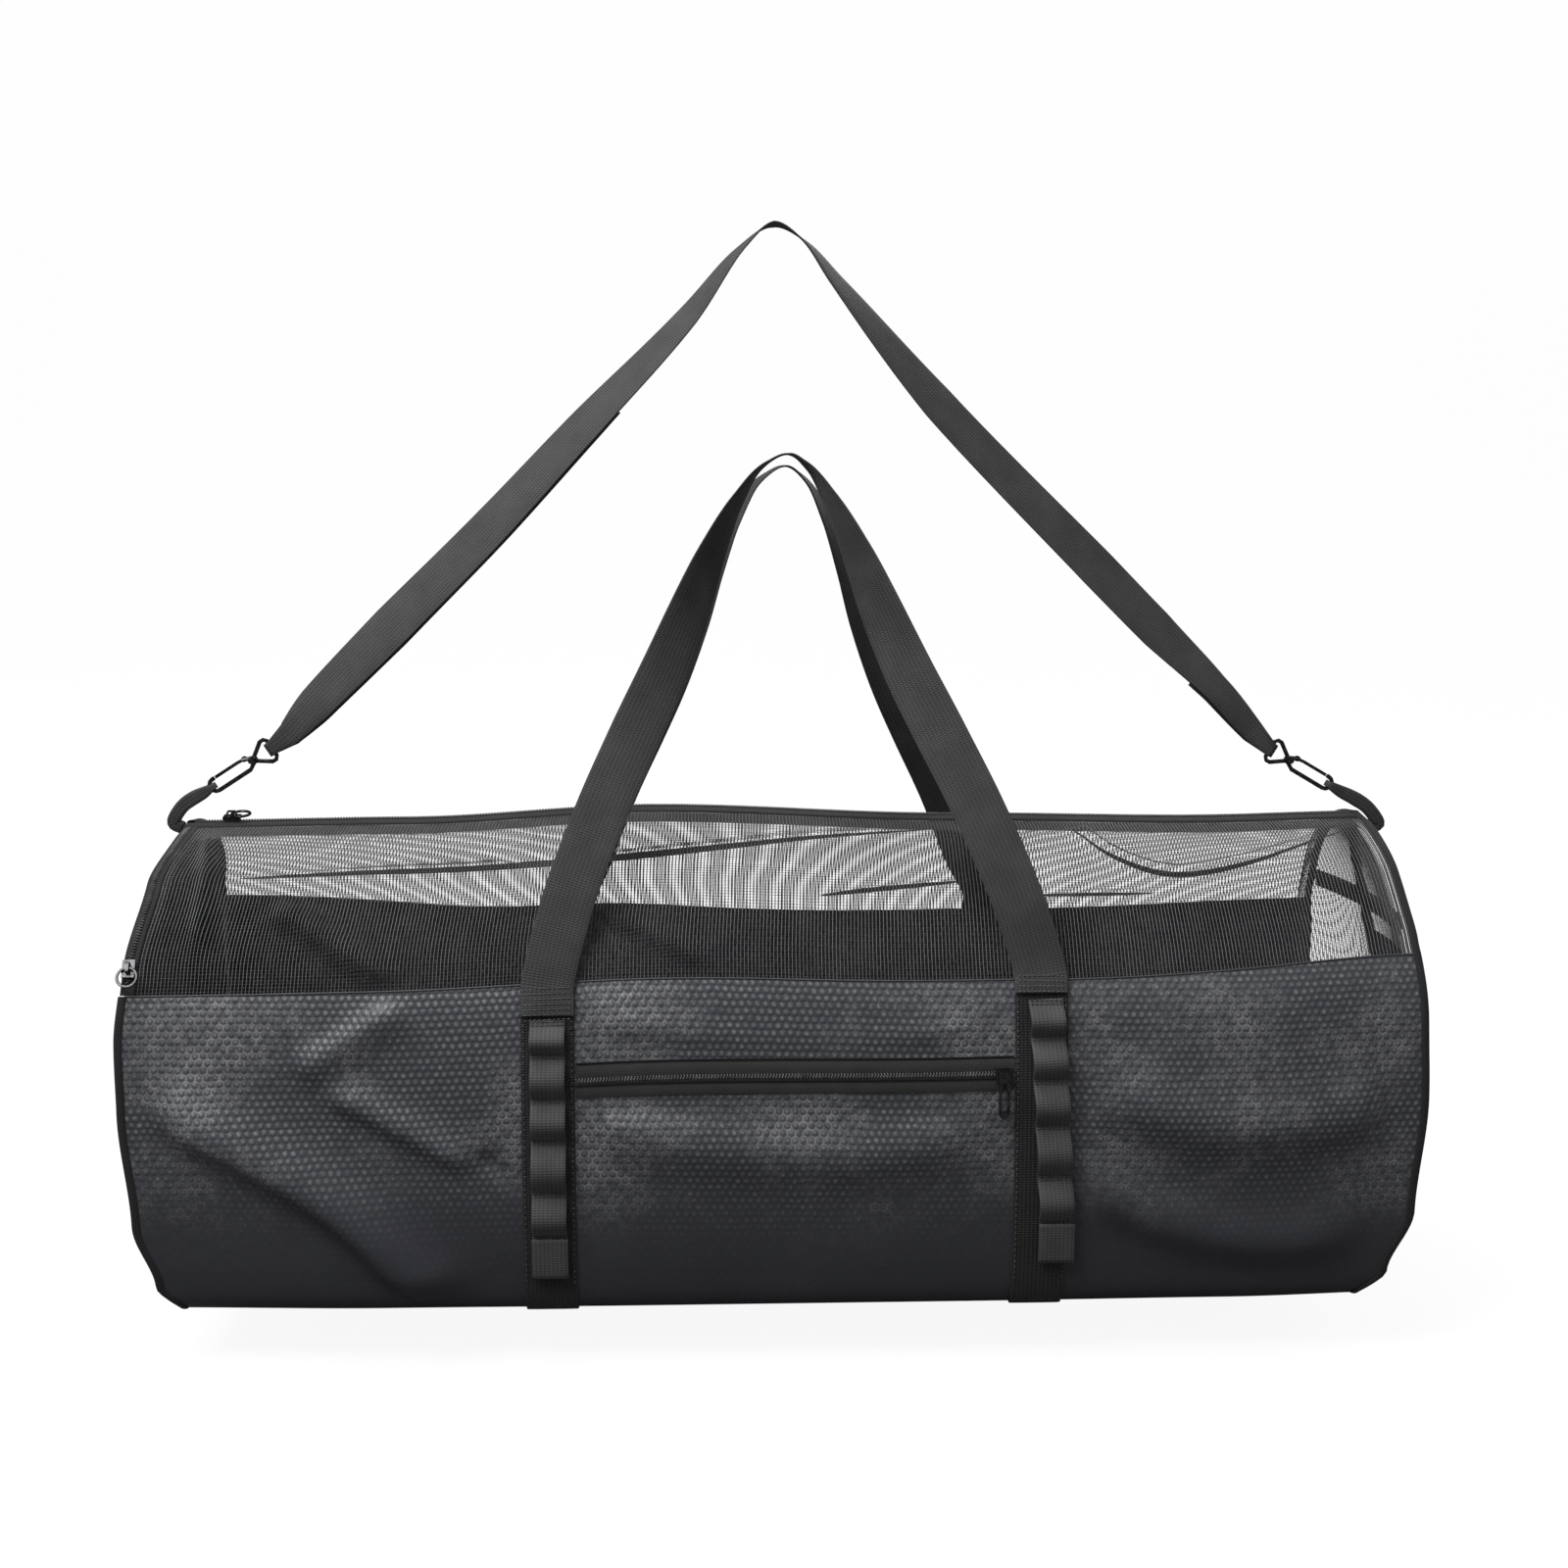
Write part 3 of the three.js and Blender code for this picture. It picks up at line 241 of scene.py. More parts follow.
FABRIC_FOLDS = [
    (-1, [(-470, 270), (-438, 292), (-376, 325), (-314, 366), (-262, 420), (-230, 450)], 14.0, 28.0, 12.0),
    (-1, [(-350, 262), (-310, 236), (-262, 206)], 6.0, 10.0, 16.0),
    (-1, [(-330, 268), (-276, 296), (-215, 332)], 7.0, 14.0, 9.0),
    (-1, [(-216, 314), (-194, 338), (-182, 350)], -5.0, 6.0, 6.0),
    (-1, [(-150, 214), (-60, 246), (60, 250), (160, 222)], 3.5, 14.0, 14.0),
    (-1, [(-160, 290), (-60, 316), (60, 322), (165, 300)], 7.0, 20.0, 22.0),
    (-1, [(210, 268), (300, 300), (400, 300), (460, 280)], 9.0, 28.0, 22.0),
    (-1, [(205, 330), (270, 372), (360, 392), (440, 380)], 8.0, 24.0, 16.0),
    (1, [(-430, 300), (-300, 330), (-140, 300), (0, 320), (160, 300), (420, 330)], 6.0, 26.0, 26.0),
]
FOLD_FADE = 0.22

# How far from what holds it the cloth stays flat, then how much farther until it moves freely
RIM_HOLD = (14, 40)
RIDGE_HOLD = (34, 20)
CORNER_HOLD = (0, 40)
STRAP_HOLD = (1, 26)
EDGE_HOLD = (0, 16)
POCKET_HOLD = (16, 22)
POCKET_END_HOLD = (0, 10)


def away(distance, hold):
    """0 where the cloth is held, rising smoothly to 1 where it moves freely."""
    flat, free = hold
    return smoothstep((distance - flat) / free)


def free_cloth(x, s):
    """1 where the cloth hangs free, 0 where straps, zips, the rims or the ridge hold it."""
    free = away(HALF_LENGTH - np.abs(x), RIM_HOLD) * away(s, RIDGE_HOLD)
    free = free * away(CORNER_END * GIRTH_LENGTH - s, CORNER_HOLD)
    free = free * away(np.abs(s - EDGE_GIRTH * GIRTH_LENGTH), EDGE_HOLD)
    for strap_x in STRAP_X.values():
        free = free * away(np.abs(x - strap_x) - STRAP_WIDTH / 2, STRAP_HOLD)
    pocket_s = float(girth_at_height(POCKET_ZIP_HEIGHT)) * GIRTH_LENGTH
    beside = away(np.abs(x - STRAP_MIDDLE) - STRAP_SPACING / 2, POCKET_END_HOLD)
    return free * np.maximum(beside, away(np.abs(s - pocket_s), POCKET_HOLD))


def fold_lift(x, girth, folds):
    """How far folds lift the cloth: each is a rounded ridge or valley that fades at its ends."""
    front = girth <= 1
    s = side_share(girth) * GIRTH_LENGTH
    lift = np.zeros(x.shape)
    for side, line, depth, above, below in folds:
        line = catmull(line, 8)
        nearest = np.full(x.shape, np.inf)
        signed = np.zeros(x.shape)
        share = np.zeros(x.shape)
        for i, (a, b) in enumerate(zip(line, line[1:])):
            d = b - a
            t = np.clip(((x - a[0]) * d[0] + (s - a[1]) * d[1]) / (d @ d), 0, 1)
            dx = x - a[0] - t * d[0]
            ds = s - a[1] - t * d[1]
            distance = np.hypot(dx, ds)
            closer = distance < nearest
            nearest = np.where(closer, distance, nearest)
            signed = np.where(closer, np.sign(d[0] * ds - d[1] * dx), signed)
            share = np.where(closer, (i + t) / (len(line) - 1), share)
        width = np.where(signed > 0, below, above)
        fade = smoothstep(np.minimum(share, 1 - share) / FOLD_FADE)
        lift += np.where(front == (side < 0), depth * fade * np.exp(-((nearest / width) ** 2)), 0)
    return lift * free_cloth(x, s)


# Mesh helpers


def to_metres(points):
    return (np.asarray(points, float).reshape(-1, 3) + CENTRING) / 1000


def finish_piece(obj, node, material, body="bag"):
    """Gives a piece its material, its body and the CAD nodes that it stands for."""
    obj.data.materials.clear()
    obj.data.materials.append(material)
    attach(obj, body)
    if node:
        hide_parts(*([node] if isinstance(node, str) else node))
    return obj


def new_piece(name, points, faces, uvs=None, smooth=True):
    """A mesh object from points in millimetres, faces, and one uv in millimetres for each point."""
    mesh = bpy.data.meshes.new(name)
    mesh.from_pydata([], [], [])
    faces = np.asarray(faces)
    count, corners = faces.shape
    co = to_metres(points)
    mesh.vertices.add(len(co))
    mesh.vertices.foreach_set("co", co.astype(np.float32).ravel())
    mesh.loops.add(count * corners)
    mesh.loops.foreach_set("vertex_index", faces.astype(np.int32).ravel())
    mesh.polygons.add(count)
    mesh.polygons.foreach_set("loop_start", np.arange(0, count * corners, corners, dtype=np.int32))
    mesh.update(calc_edges=True)
    mesh.polygons.foreach_set("use_smooth", np.full(count, smooth))
    if uvs is not None:
        layer = mesh.uv_layers.new(name="cloth")
        flat = np.asarray(uvs, float).reshape(-1, 2)[faces.ravel()] / 1000
        layer.data.foreach_set("uv", flat.astype(np.float32).ravel())
    mesh.validate()
    obj = bpy.data.objects.new(name, mesh)
    bpy.context.scene.collection.objects.link(obj)
    return obj


def grid_faces(rows, columns, wrap=False, start=0):
    """Quads of a rows by columns grid of points; wrap joins the last column to the first."""
    r = np.arange(rows - 1)[:, None]
    c = np.arange(columns if wrap else columns - 1)[None, :]
    n = (c + 1) % columns
    quads = np.stack([r * columns + c, (r + 1) * columns + c, (r + 1) * columns + n, r * columns + n], -1)
    return quads.reshape(-1, 4) + start


def normals_of(points):
    """Unit normals of a grid of points."""
    down = np.gradient(points, axis=0)
    along = np.gradient(points, axis=1)
    normal = np.cross(down, along)
    return normal / np.maximum(np.linalg.norm(normal, axis=-1, keepdims=True), 1e-9)


def unit(v):
    return v / np.maximum(np.linalg.norm(v, axis=-1, keepdims=True), 1e-9)


# Across and up of a ribbon's rounded section, as shares of its width and thickness
RIBBON_PROFILE = np.array([
    (-0.500, 0.00), (-0.494, 0.30), (-0.475, 0.45), (-0.25, 0.5), (0.0, 0.5), (0.25, 0.5),
    (0.475, 0.45), (0.494, 0.30), (0.500, 0.00), (0.494, -0.30), (0.475, -0.45),
    (0.25, -0.5), (0.0, -0.5), (-0.25, -0.5), (-0.475, -0.45), (-0.494, -0.30),
])


def ribbon_rings(centres, across, widths, thickness):
    """Rounded flat rings round a line of webbing, with a uv for each point."""
    tangent = unit(np.gradient(centres, axis=0))
    across = np.broadcast_to(across, centres.shape)
    across = unit(across - tangent * (across * tangent).sum(-1, keepdims=True))
    face = np.cross(tangent, across)
    widths = np.broadcast_to(widths, (len(centres),))
    w = RIBBON_PROFILE[None, :, 0] * widths[:, None]
    h = RIBBON_PROFILE[None, :, 1] * thickness
    points = centres[:, None] + across[:, None] * w[..., None] + face[:, None] * h[..., None]
    uvs = np.stack(np.broadcast_arrays(w, length_along(centres)[:, None]), -1)
    return points, uvs


def ribbon_piece(name, centres, across, widths, thickness=WEBBING):
    """Webbing with closed ends along a line; across is its direction, at each point or for all."""
    points, uvs = ribbon_rings(centres, across, widths, thickness)
    rows, columns = points.shape[:2]
    obj = new_piece(name, points, grid_faces(rows, columns, wrap=True), uvs)
    bm = bmesh.new()
    bm.from_mesh(obj.data)
    bmesh.ops.holes_fill(bm, edges=[e for e in bm.edges if e.is_boundary], sides=0)
    bmesh.ops.recalc_face_normals(bm, faces=bm.faces)
    bm.to_mesh(obj.data)
    bm.free()
    return obj


def tube_rings(line, radius, sides):
    """Rings of a round cord along a line."""
    tangent = unit(np.gradient(line, axis=0))
    side = unit(np.cross(tangent, (0.0, 1.0, 0.0)))
    over = np.cross(side, tangent)
    turn = np.linspace(0, 2 * math.pi, sides, endpoint=False)[None, :, None]
    return line[:, None] + (side[:, None] * np.cos(turn) + over[:, None] * np.sin(turn)) * radius


def repeat_faces(one, count, size):
    """The same quads for each of count shapes that have size points each."""
    return (one[None] + (np.arange(count) * size)[:, None, None]).reshape(-1, 4)


def merge(parts):
    """Joins (points, faces, uvs) lists into one."""
    points, faces, uvs, start = [], [], [], 0
    for p, f, u in parts:
        p = np.asarray(p, float).reshape(-1, 3)
        points.append(p)
        faces.append(np.asarray(f) + start)
        uvs.append(np.asarray(u, float).reshape(-1, 2))
        start += len(p)
    return np.vstack(points), np.vstack(faces), np.vstack(uvs)


# Along, thickness and rise of a stitch's rings, then the corners of each ring
STITCH_RINGS = [(0.0, 0.25, 0.0), (0.12, 0.8, 0.5), (0.5, 1.0, 0.9), (0.88, 0.8, 0.5), (1.0, 0.25, 0.0)]
STITCH_CORNERS = [(1, 0), (0, 1), (-1, 0), (0, -0.6)]
STITCH_RISE = 0.9


def threads(start, end, normal, radius):
    """Short round-ended stitches from start to end points."""
    normal = unit(normal)
    along = end - start
    side = unit(np.cross(along, normal))
    rings = []
    for t, size, rise in STITCH_RINGS:
        centre = start + along * t + normal * (rise * radius * STITCH_RISE)
        corners = [centre + radius * size * (side * a + normal * b) for a, b in STITCH_CORNERS]
        rings.append(np.stack(corners, 1))
    points = np.stack(rings, 1).reshape(-1, 3)
    one = grid_faces(len(STITCH_RINGS), len(STITCH_CORNERS), wrap=True)
    faces = repeat_faces(one, len(start), len(points) // len(start))
    return points, faces, np.zeros((len(points), 2))


# Materials


def node_kit(name, roughness, metallic=0.0):
    material = bpy.data.materials.new(name)
    material.use_nodes = True
    tree = material.node_tree
    shader = tree.nodes["Principled BSDF"]
    shader.inputs["Roughness"].default_value = roughness
    shader.inputs["Metallic"].default_value = metallic
    return material, tree, shader


def add(tree, kind, **values):
    node = tree.nodes.new(kind)
    for key, value in values.items():
        setattr(node, key, value)
    return node


def feed(tree, slot, value):
    """Links another node's output to a socket, or sets the socket to a number or tuple."""
    if isinstance(value, bpy.types.NodeSocket):
        tree.links.new(value, slot)
    else:
        slot.default_value = value


def maths(tree, operation, *values):
    node = add(tree, "ShaderNodeMath", operation=operation)
    for slot, value in zip(node.inputs, values):
        feed(tree, slot, value)
    return node.outputs[0]


def product(tree, first, *others):
    for other in others:
        first = maths(tree, "MULTIPLY", first, other)
    return first


def vector_maths(tree, operation, *values, scale=None):
    node = add(tree, "ShaderNodeVectorMath", operation=operation)
    for slot, value in zip(node.inputs, values):
        feed(tree, slot, value)
    if scale is not None:
        node.inputs["Scale"].default_value = scale
    return node.outputs[1 if operation == "LENGTH" else 0]


def split(tree, vector):
    """The X, Y and Z outputs of a vector."""
    node = add(tree, "ShaderNodeSeparateXYZ")
    feed(tree, node.inputs[0], vector)
    return node.outputs


def limits(tree, value, low, high, to_low=0.0, to_high=1.0, kind="SMOOTHSTEP"):
    """Carries low to high over to to_low to to_high, and holds beyond them."""
    node = add(tree, "ShaderNodeMapRange", interpolation_type=kind)
    numbers = {"From Min": low, "From Max": high, "To Min": to_low, "To Max": to_high}
    for slot, number in numbers.items():
        node.inputs[slot].default_value = number
    feed(tree, node.inputs["Value"], value)
    return node.outputs["Result"]


def mix(tree, kind, factor, a, b):
    node = add(tree, "ShaderNodeMix", data_type=kind)
    for slot, value in (("Factor", factor), ("A", a), ("B", b)):
        feed(tree, node.inputs[slot], value)
    return node.outputs["Result"]


def ramp(tree, value, stops):
    node = add(tree, "ShaderNodeValToRGB")
    elements = node.color_ramp.elements
    while len(elements) < len(stops):
        elements.new(0.5)
    for element, (at, colour) in zip(elements, stops):
        element.position = at
        element.color = (*colour, 1)
    tree.links.new(value, node.inputs["Fac"])
    return node.outputs["Color"]


def noise(tree, vector, scale, detail=3.0, roughness=0.55):
    node = add(tree, "ShaderNodeTexNoise")
    node.inputs["Scale"].default_value = scale
    node.inputs["Detail"].default_value = detail
    node.inputs["Roughness"].default_value = roughness
    tree.links.new(vector, node.inputs["Vector"])
    return node.outputs["Fac"]


def bump(tree, height, distance, strength=1.0, normal=None):
    node = add(tree, "ShaderNodeBump")
    node.inputs["Distance"].default_value = distance
    node.inputs["Strength"].default_value = strength
    tree.links.new(height, node.inputs["Height"])
    if normal is not None:
        tree.links.new(normal, node.inputs["Normal"])
    return node.outputs["Normal"]


def place(tree):
    return add(tree, "ShaderNodeTexCoord").outputs["Object"]


def cloth_uv(tree):
    return add(tree, "ShaderNodeUVMap", uv_map="cloth").outputs["UV"]


HEX_PITCH = 0.0058
ROOT_3 = math.sqrt(3)


def hex_distance(tree, uv):
    """0 at the middle of each honeycomb cell, 1 at the middle of its walls."""
    size = (1.0, ROOT_3, 1.0)
    half = (0.5, ROOT_3 / 2, 0.5)
    scaled = vector_maths(tree, "SCALE", uv, scale=1 / HEX_PITCH)
    distances = []
    lengths = []
    for shift in ((0.0, 0.0, 0.0), half):
        moved = vector_maths(tree, "ADD", scaled, shift)
        cell = vector_maths(tree, "WRAP", moved, size, (0.0, 0.0, 0.0))
        centred = vector_maths(tree, "SUBTRACT", cell, half)
        folded = split(tree, vector_maths(tree, "ABSOLUTE", centred))
        slanted = maths(tree, "MULTIPLY_ADD", folded["Y"], ROOT_3 / 2, product(tree, folded["X"], 0.5))
        distances.append(maths(tree, "MAXIMUM", folded["X"], slanted))
        lengths.append(vector_maths(tree, "LENGTH", centred))
    first_nearer = maths(tree, "LESS_THAN", *lengths)
    return product(tree, mix(tree, "FLOAT", first_nearer, distances[1], distances[0]), 2.0)


def coated_fabric():
    """Charcoal coated cloth, embossed with a honeycomb whose relief fades low on the bag; its colour has
    painted highlights on the cells, and painted shade that darkens it towards the bottom.
    """
    material, tree, shader = node_kit("coated_fabric", 0.42)
    at = place(tree)
    wobble = noise(tree, at, 90.0, 2.0, 0.5).node.outputs["Color"]
    shift = vector_maths(tree, "SCALE", wobble, scale=0.0022)
    hexes = hex_distance(tree, vector_maths(tree, "ADD", cloth_uv(tree), shift))
    patches = noise(tree, at, 14.0)
    height = maths(tree, "SUBTRACT", split(tree, at)["Z"], 0.02)
    # Rises with height on the bag: low down it fades the relief and the painted highlights, and paints
    # shade
    light_and_relief_by_height = limits(tree, maths(tree, "MULTIPLY_ADD", patches, 0.05, height), 0.055, 0.145, 0.06)
    # Noise patches where the honeycomb's walls get painted highlights
    highlight_patches = limits(tree, noise(tree, at, 11.0, 4.0, 0.6), 0.44, 0.66)
    speckle = limits(tree, noise(tree, at, 170.0, 3.0, 0.6), 0.36, 0.64, 0.15, 1.15, "LINEAR")
    # Painted highlights: the middles of the cells, and in those patches their walls, are mixed towards
    # light grey, flecked by the speckle
    dome_highlight = product(tree, limits(tree, hexes, 0.80, 0.10), light_and_relief_by_height, 0.42)
    line = product(tree, limits(tree, hexes, 0.50, 0.95), light_and_relief_by_height, highlight_patches, 0.6)
    painted_highlight = product(tree, maths(tree, "MAXIMUM", dome_highlight, line), speckle)
    # The tone is darker towards the bottom, which is painted shade, and wanders in random patches
    shade = maths(tree, "MULTIPLY_ADD", patches, 0.3, product(tree, light_and_relief_by_height, 0.6))
    tone = ramp(tree, shade, [(0.12, (0.030, 0.031, 0.038)), (0.75, (0.046, 0.048, 0.056))])
    colour = mix(tree, "RGBA", painted_highlight, tone, (0.34, 0.34, 0.35, 1))
    feed(tree, shader.inputs["Base Color"], colour)
    feed(tree, shader.inputs["Roughness"], maths(tree, "MULTIPLY_ADD", painted_highlight, -0.25, 0.46))
    grain = bump(tree, noise(tree, at, 1100.0, 2.0), 0.00006, 0.6)
    wall = maths(tree, "SMOOTH_MIN", hexes, 0.92, 0.1)
    relief = product(tree, maths(tree, "SUBTRACT", 1.0, wall), light_and_relief_by_height)
    feed(tree, shader.inputs["Normal"], bump(tree, relief, 0.0007, 1.0, grain))
    return material


def speckled(name, roughness, patch, dark, light, grain=None):
    """A smooth material whose tone wanders; grain is the scale and depth of its fine relief."""
    material, tree, shader = node_kit(name, roughness)
    at = place(tree)
    tone = ramp(tree, noise(tree, at, patch), [(0.3, dark), (0.7, light)])
    feed(tree, shader.inputs["Base Color"], tone)
    if grain:
        scale, depth = grain
        feed(tree, shader.inputs["Normal"], bump(tree, noise(tree, at, scale), depth))
    return material


def woven(name, dark, light, ribs, depth, roughness=0.72):
    """Woven webbing or tape: ribs across it, broken by the warp; its colour fades unevenly, and is darker
    between the ribs as painted shade.
    """
    material, tree, shader = node_kit(name, roughness)
    at = place(tree)
    cloth = split(tree, cloth_uv(tree))
    rib_along, rib_across = ribs
    warp = maths(tree, "SINE", product(tree, cloth["X"], 2 * math.pi / rib_across))
    phase = maths(tree, "MULTIPLY_ADD", cloth["Y"], 2 * math.pi / rib_along, product(tree, warp, 1.1))
    height = maths(tree, "MULTIPLY_ADD", warp, 0.35, product(tree, maths(tree, "SINE", phase), 0.65))
    # Lighter on the ribs' crowns and darker between them: painted shade in the grooves
    crown = product(tree, maths(tree, "MULTIPLY_ADD", height, 0.5, 0.5), 0.5)
    fade_and_groove_shade = maths(tree, "MULTIPLY_ADD", noise(tree, at, 35.0, 4.0), 0.5, crown)
    feed(tree, shader.inputs["Base Color"], ramp(tree, fade_and_groove_shade, [(0.25, dark), (0.78, light)]))
    fuzz = bump(tree, noise(tree, at, 1800.0, 2.0), 0.00008, 0.5)
    feed(tree, shader.inputs["Normal"], bump(tree, height, depth, 1.0, fuzz))
    shader.inputs["Specular IOR Level"].default_value = 0.3
    shader.inputs["Sheen Weight"].default_value = 0.12
    shader.inputs["Sheen Roughness"].default_value = 0.4
    return material


def metal_material():
    """Dark plated metal with small scuffs."""
    material, tree, shader = node_kit("dark_metal", 0.24, 1.0)
    scuffs = noise(tree, place(tree), 220.0, 6.0, 0.7)
    tone = ramp(tree, scuffs, [(0.35, (0.035, 0.035, 0.037)), (0.75, (0.13, 0.13, 0.133))])
    feed(tree, shader.inputs["Base Color"], tone)
    feed(tree, shader.inputs["Roughness"], ramp(tree, scuffs, [(0.3, (0.18,) * 3), (0.8, (0.42,) * 3)]))
    feed(tree, shader.inputs["Normal"], bump(tree, scuffs, 0.00005, 0.4))
    return material


# Rib pitches along and across, in metres
STRAP_RIBS = (0.0019, 0.0030)
TAPE_RIBS = (0.0009, 0.0016)

FABRIC = coated_fabric()
NET = speckled("net_thread", 0.45, 60.0, (0.075, 0.075, 0.078), (0.118, 0.118, 0.122), (2500.0, 0.00005))
THREAD = speckled("stitching", 0.5, 300.0, (0.040, 0.040, 0.043), (0.110, 0.110, 0.115), (2600.0, 0.0001))
COIL = speckled("zip_coil", 0.32, 120.0, (0.060, 0.060, 0.062), (0.150, 0.150, 0.150))
WEBBING_CLOTH = woven("webbing", (0.022, 0.022, 0.023), (0.068, 0.068, 0.071), STRAP_RIBS, 0.00016)
# A lighter copy of the webbing for the daisy chains, which face the front: painted light
LIT_CHAIN_CLOTH = woven("chain_webbing", (0.034, 0.034, 0.036), (0.098, 0.098, 0.102), STRAP_RIBS, 0.00016)
# A darker copy of the webbing for the girth straps low on the bag: painted shade
SHADED_WEBBING = woven("shaded_webbing", (0.010, 0.010, 0.011), (0.030, 0.030, 0.032), STRAP_RIBS, 0.0004)
TAPE_CLOTH = woven("zip_tape", (0.008, 0.008, 0.009), (0.024, 0.024, 0.027), TAPE_RIBS, 0.00012, 0.75)
POCKET_TAPE = woven("pocket_tape", (0.024, 0.025, 0.025), (0.055, 0.057, 0.055), TAPE_RIBS, 0.00012, 0.6)
# Near-black cloth for strips that paint the shadows in the pocket zip's grooves
EDGE_SHADOW_CLOTH = woven("painted_edge_shadow", (0.004, 0.004, 0.005), (0.010, 0.010, 0.011), TAPE_RIBS, 0.00012, 0.8)
HEM = woven("hem", (0.040, 0.041, 0.045), (0.085, 0.086, 0.090), TAPE_RIBS, 0.0001, 0.5)
METAL = metal_material()


# The cloth body


def cloth_grid(girth, columns, insets=(0, 0)):
    """Places along the bag and bent girth shares for a grid of cloth from end to end."""
    left = end_x("left", girth) + insets[0]
    right = end_x("right", girth) - insets[1]
    t = np.linspace(0, 1, columns)
    x = left[:, None] * (1 - t) + right[:, None] * t
    return x, bend_rows(x, girth[:, None])


def cloth_piece(name, girth, columns, folds, insets=(0, 0), lift=0.0):
    x, bent = cloth_grid(girth, columns, insets)
    points = bag_point(x, bent, lift + fold_lift(x, bent, folds))
    uvs = np.stack([x, bent * GIRTH_LENGTH], -1)
    return new_piece(name, points, grid_faces(len(girth), columns), uvs)


fabric_rows = np.concatenate([
    np.linspace(EDGE_GIRTH, CORNER_END, 96),
    np.linspace(CORNER_END, 2 - CORNER_END, 26)[1:-1],
    np.linspace(2 - CORNER_END, 2 - EDGE_GIRTH, 60),
])
base = cloth_piece("base_cloth", fabric_rows, 300, FABRIC_FOLDS)
finish_piece(base, "base_fabric", FABRIC)

# A rolled hem along the fabric's top edge
HEM_INSET = 4
HEM_RADIUS = 0.65
HEM_LIFT = 0.35
HEM_STEPS = 260
HEM_SIDES = 6

for name, edge in (("front", EDGE_GIRTH), ("back", 2 - EDGE_GIRTH)):
    start, stop = float(end_x("left", edge)) + HEM_INSET, float(end_x("right", edge)) - HEM_INSET
    line = grid_point(np.linspace(start, stop, HEM_STEPS), edge, HEM_LIFT)
    rings = tube_rings(line, HEM_RADIUS, HEM_SIDES)
    hem = new_piece(f"fabric_hem_{name}", rings, grid_faces(HEM_STEPS, HEM_SIDES, wrap=True))
    finish_piece(hem, "base_fabric", HEM)

NET_PITCH_X = 2.7
NET_PITCH_Y = 2.5
UPRIGHT_RADIUS = 0.49
LEVEL_RADIUS = 0.15
NET_LIFT = -0.8


def strands(lines, radius, normals, step):
    """Three-sided threads along the rows of a grid of points."""
    lines, normals = lines[:, ::step], normals[:, ::step]
    side = np.cross(unit(np.gradient(lines, axis=1)), normals)
    rings = []
    for angle in (90, 210, 330):
        a = math.radians(angle)
        rings.append(lines + radius * (side * math.cos(a) + normals * math.sin(a)))
    points = np.stack(rings, 2).reshape(-1, 3)
    count, length = lines.shape[:2]
    faces = repeat_faces(grid_faces(length, 3, wrap=True), count, length * 3)
    return points, faces, np.zeros((len(points), 2))


def net_piece(name, node, points, upright_step, level_step, radius=UPRIGHT_RADIUS):
    """A square net on a grid of points: thick threads down the columns, thin ones along the rows."""
    normals = normals_of(points)
    down = strands(points.transpose(1, 0, 2), radius, normals.transpose(1, 0, 2), upright_step)
    along = strands(points, LEVEL_RADIUS, normals, level_step)
    finish_piece(new_piece(name + "_uprights", *down), node, NET)
    finish_piece(new_piece(name + "_levels", *along), node, NET)


def odd_count(length, pitch):
    return 2 * round(length / pitch / 2) + 1


def net_points(start, stop, left_inset, folds):
    girth = np.linspace(start, stop, odd_count((stop - start) * GIRTH_LENGTH, NET_PITCH_Y))
    x, bent = cloth_grid(girth, odd_count(2 * HALF_LENGTH, NET_PITCH_X), (left_inset, 0))
    return bag_point(x, bent, NET_LIFT + fold_lift(x, bent, folds))


net_piece("net_front", "mesh_front", net_points(RIDGE_START, EDGE_GIRTH, 10, NET_FOLDS), 1, 2)
net_piece("net_back", "mesh_back", net_points(2 - EDGE_GIRTH, 2 - RIDGE_START, 0, NET_FOLDS), 2, 3)

# The net is doubled into a dark band beside the ridge; at its creases, dark strips laid under it stand for
# the doubled net in each fold and paint the shade in it
BAND_START = RIDGE_START * 0.9
BAND_STOP = 38 / GIRTH_LENGTH
BAND_INSETS = (8, 8)
BAND_LIFT = -1.9
# number of the net's fold, width of its crease
CREASES = [(0, 8.4), (1, 5.0), (2, 3.6), (3, 7.0)]
CREASE_LIFT = -1.4

for name, start, stop in (("front", BAND_START, BAND_STOP), ("back", 2 - BAND_STOP, 2 - BAND_START)):
    girth = np.linspace(start, stop, 8)
    band = cloth_piece(f"ridge_band_{name}", girth, 240, [], BAND_INSETS, BAND_LIFT)
    finish_piece(band, f"mesh_{name}", TAPE_CLOTH)
# Dark strips under the net along its folds: doubled net, and painted shade in the crease
for number, (fold, width) in enumerate(CREASES):
    line = catmull(NET_FOLDS[fold][1], 10)
    half = np.sin(math.pi * np.linspace(0, 1, len(line))) ** 0.5 * width / 2
    points = [
        bag_point(line[:, 0], (line[:, 1] + side * half) / GIRTH_LENGTH, CREASE_LIFT)
        for side in (-1, 1)
    ]
    crease = new_piece(f"net_crease_{number + 1}", np.stack(points, 1), grid_faces(len(line), 2))
    finish_piece(crease, "mesh_front", TAPE_CLOTH)

# Ends
PANEL_BULGE = 20
PANEL_TOP = RIDGE_START * 0.75
PANEL_GAP = 0.7
END_DIP = 55
DIP_START = -0.15
DIP_SPREAD = 0.4
END_RADIUS = 0.27
SEAM_LIFT = -1.4


def panel_edge(end, girth):
    x = end_x(end, girth) - END_SIGN[end] * RIM_WIDTH
    return grid_point(x, girth, -CLOTH_WALL - PANEL_GAP)


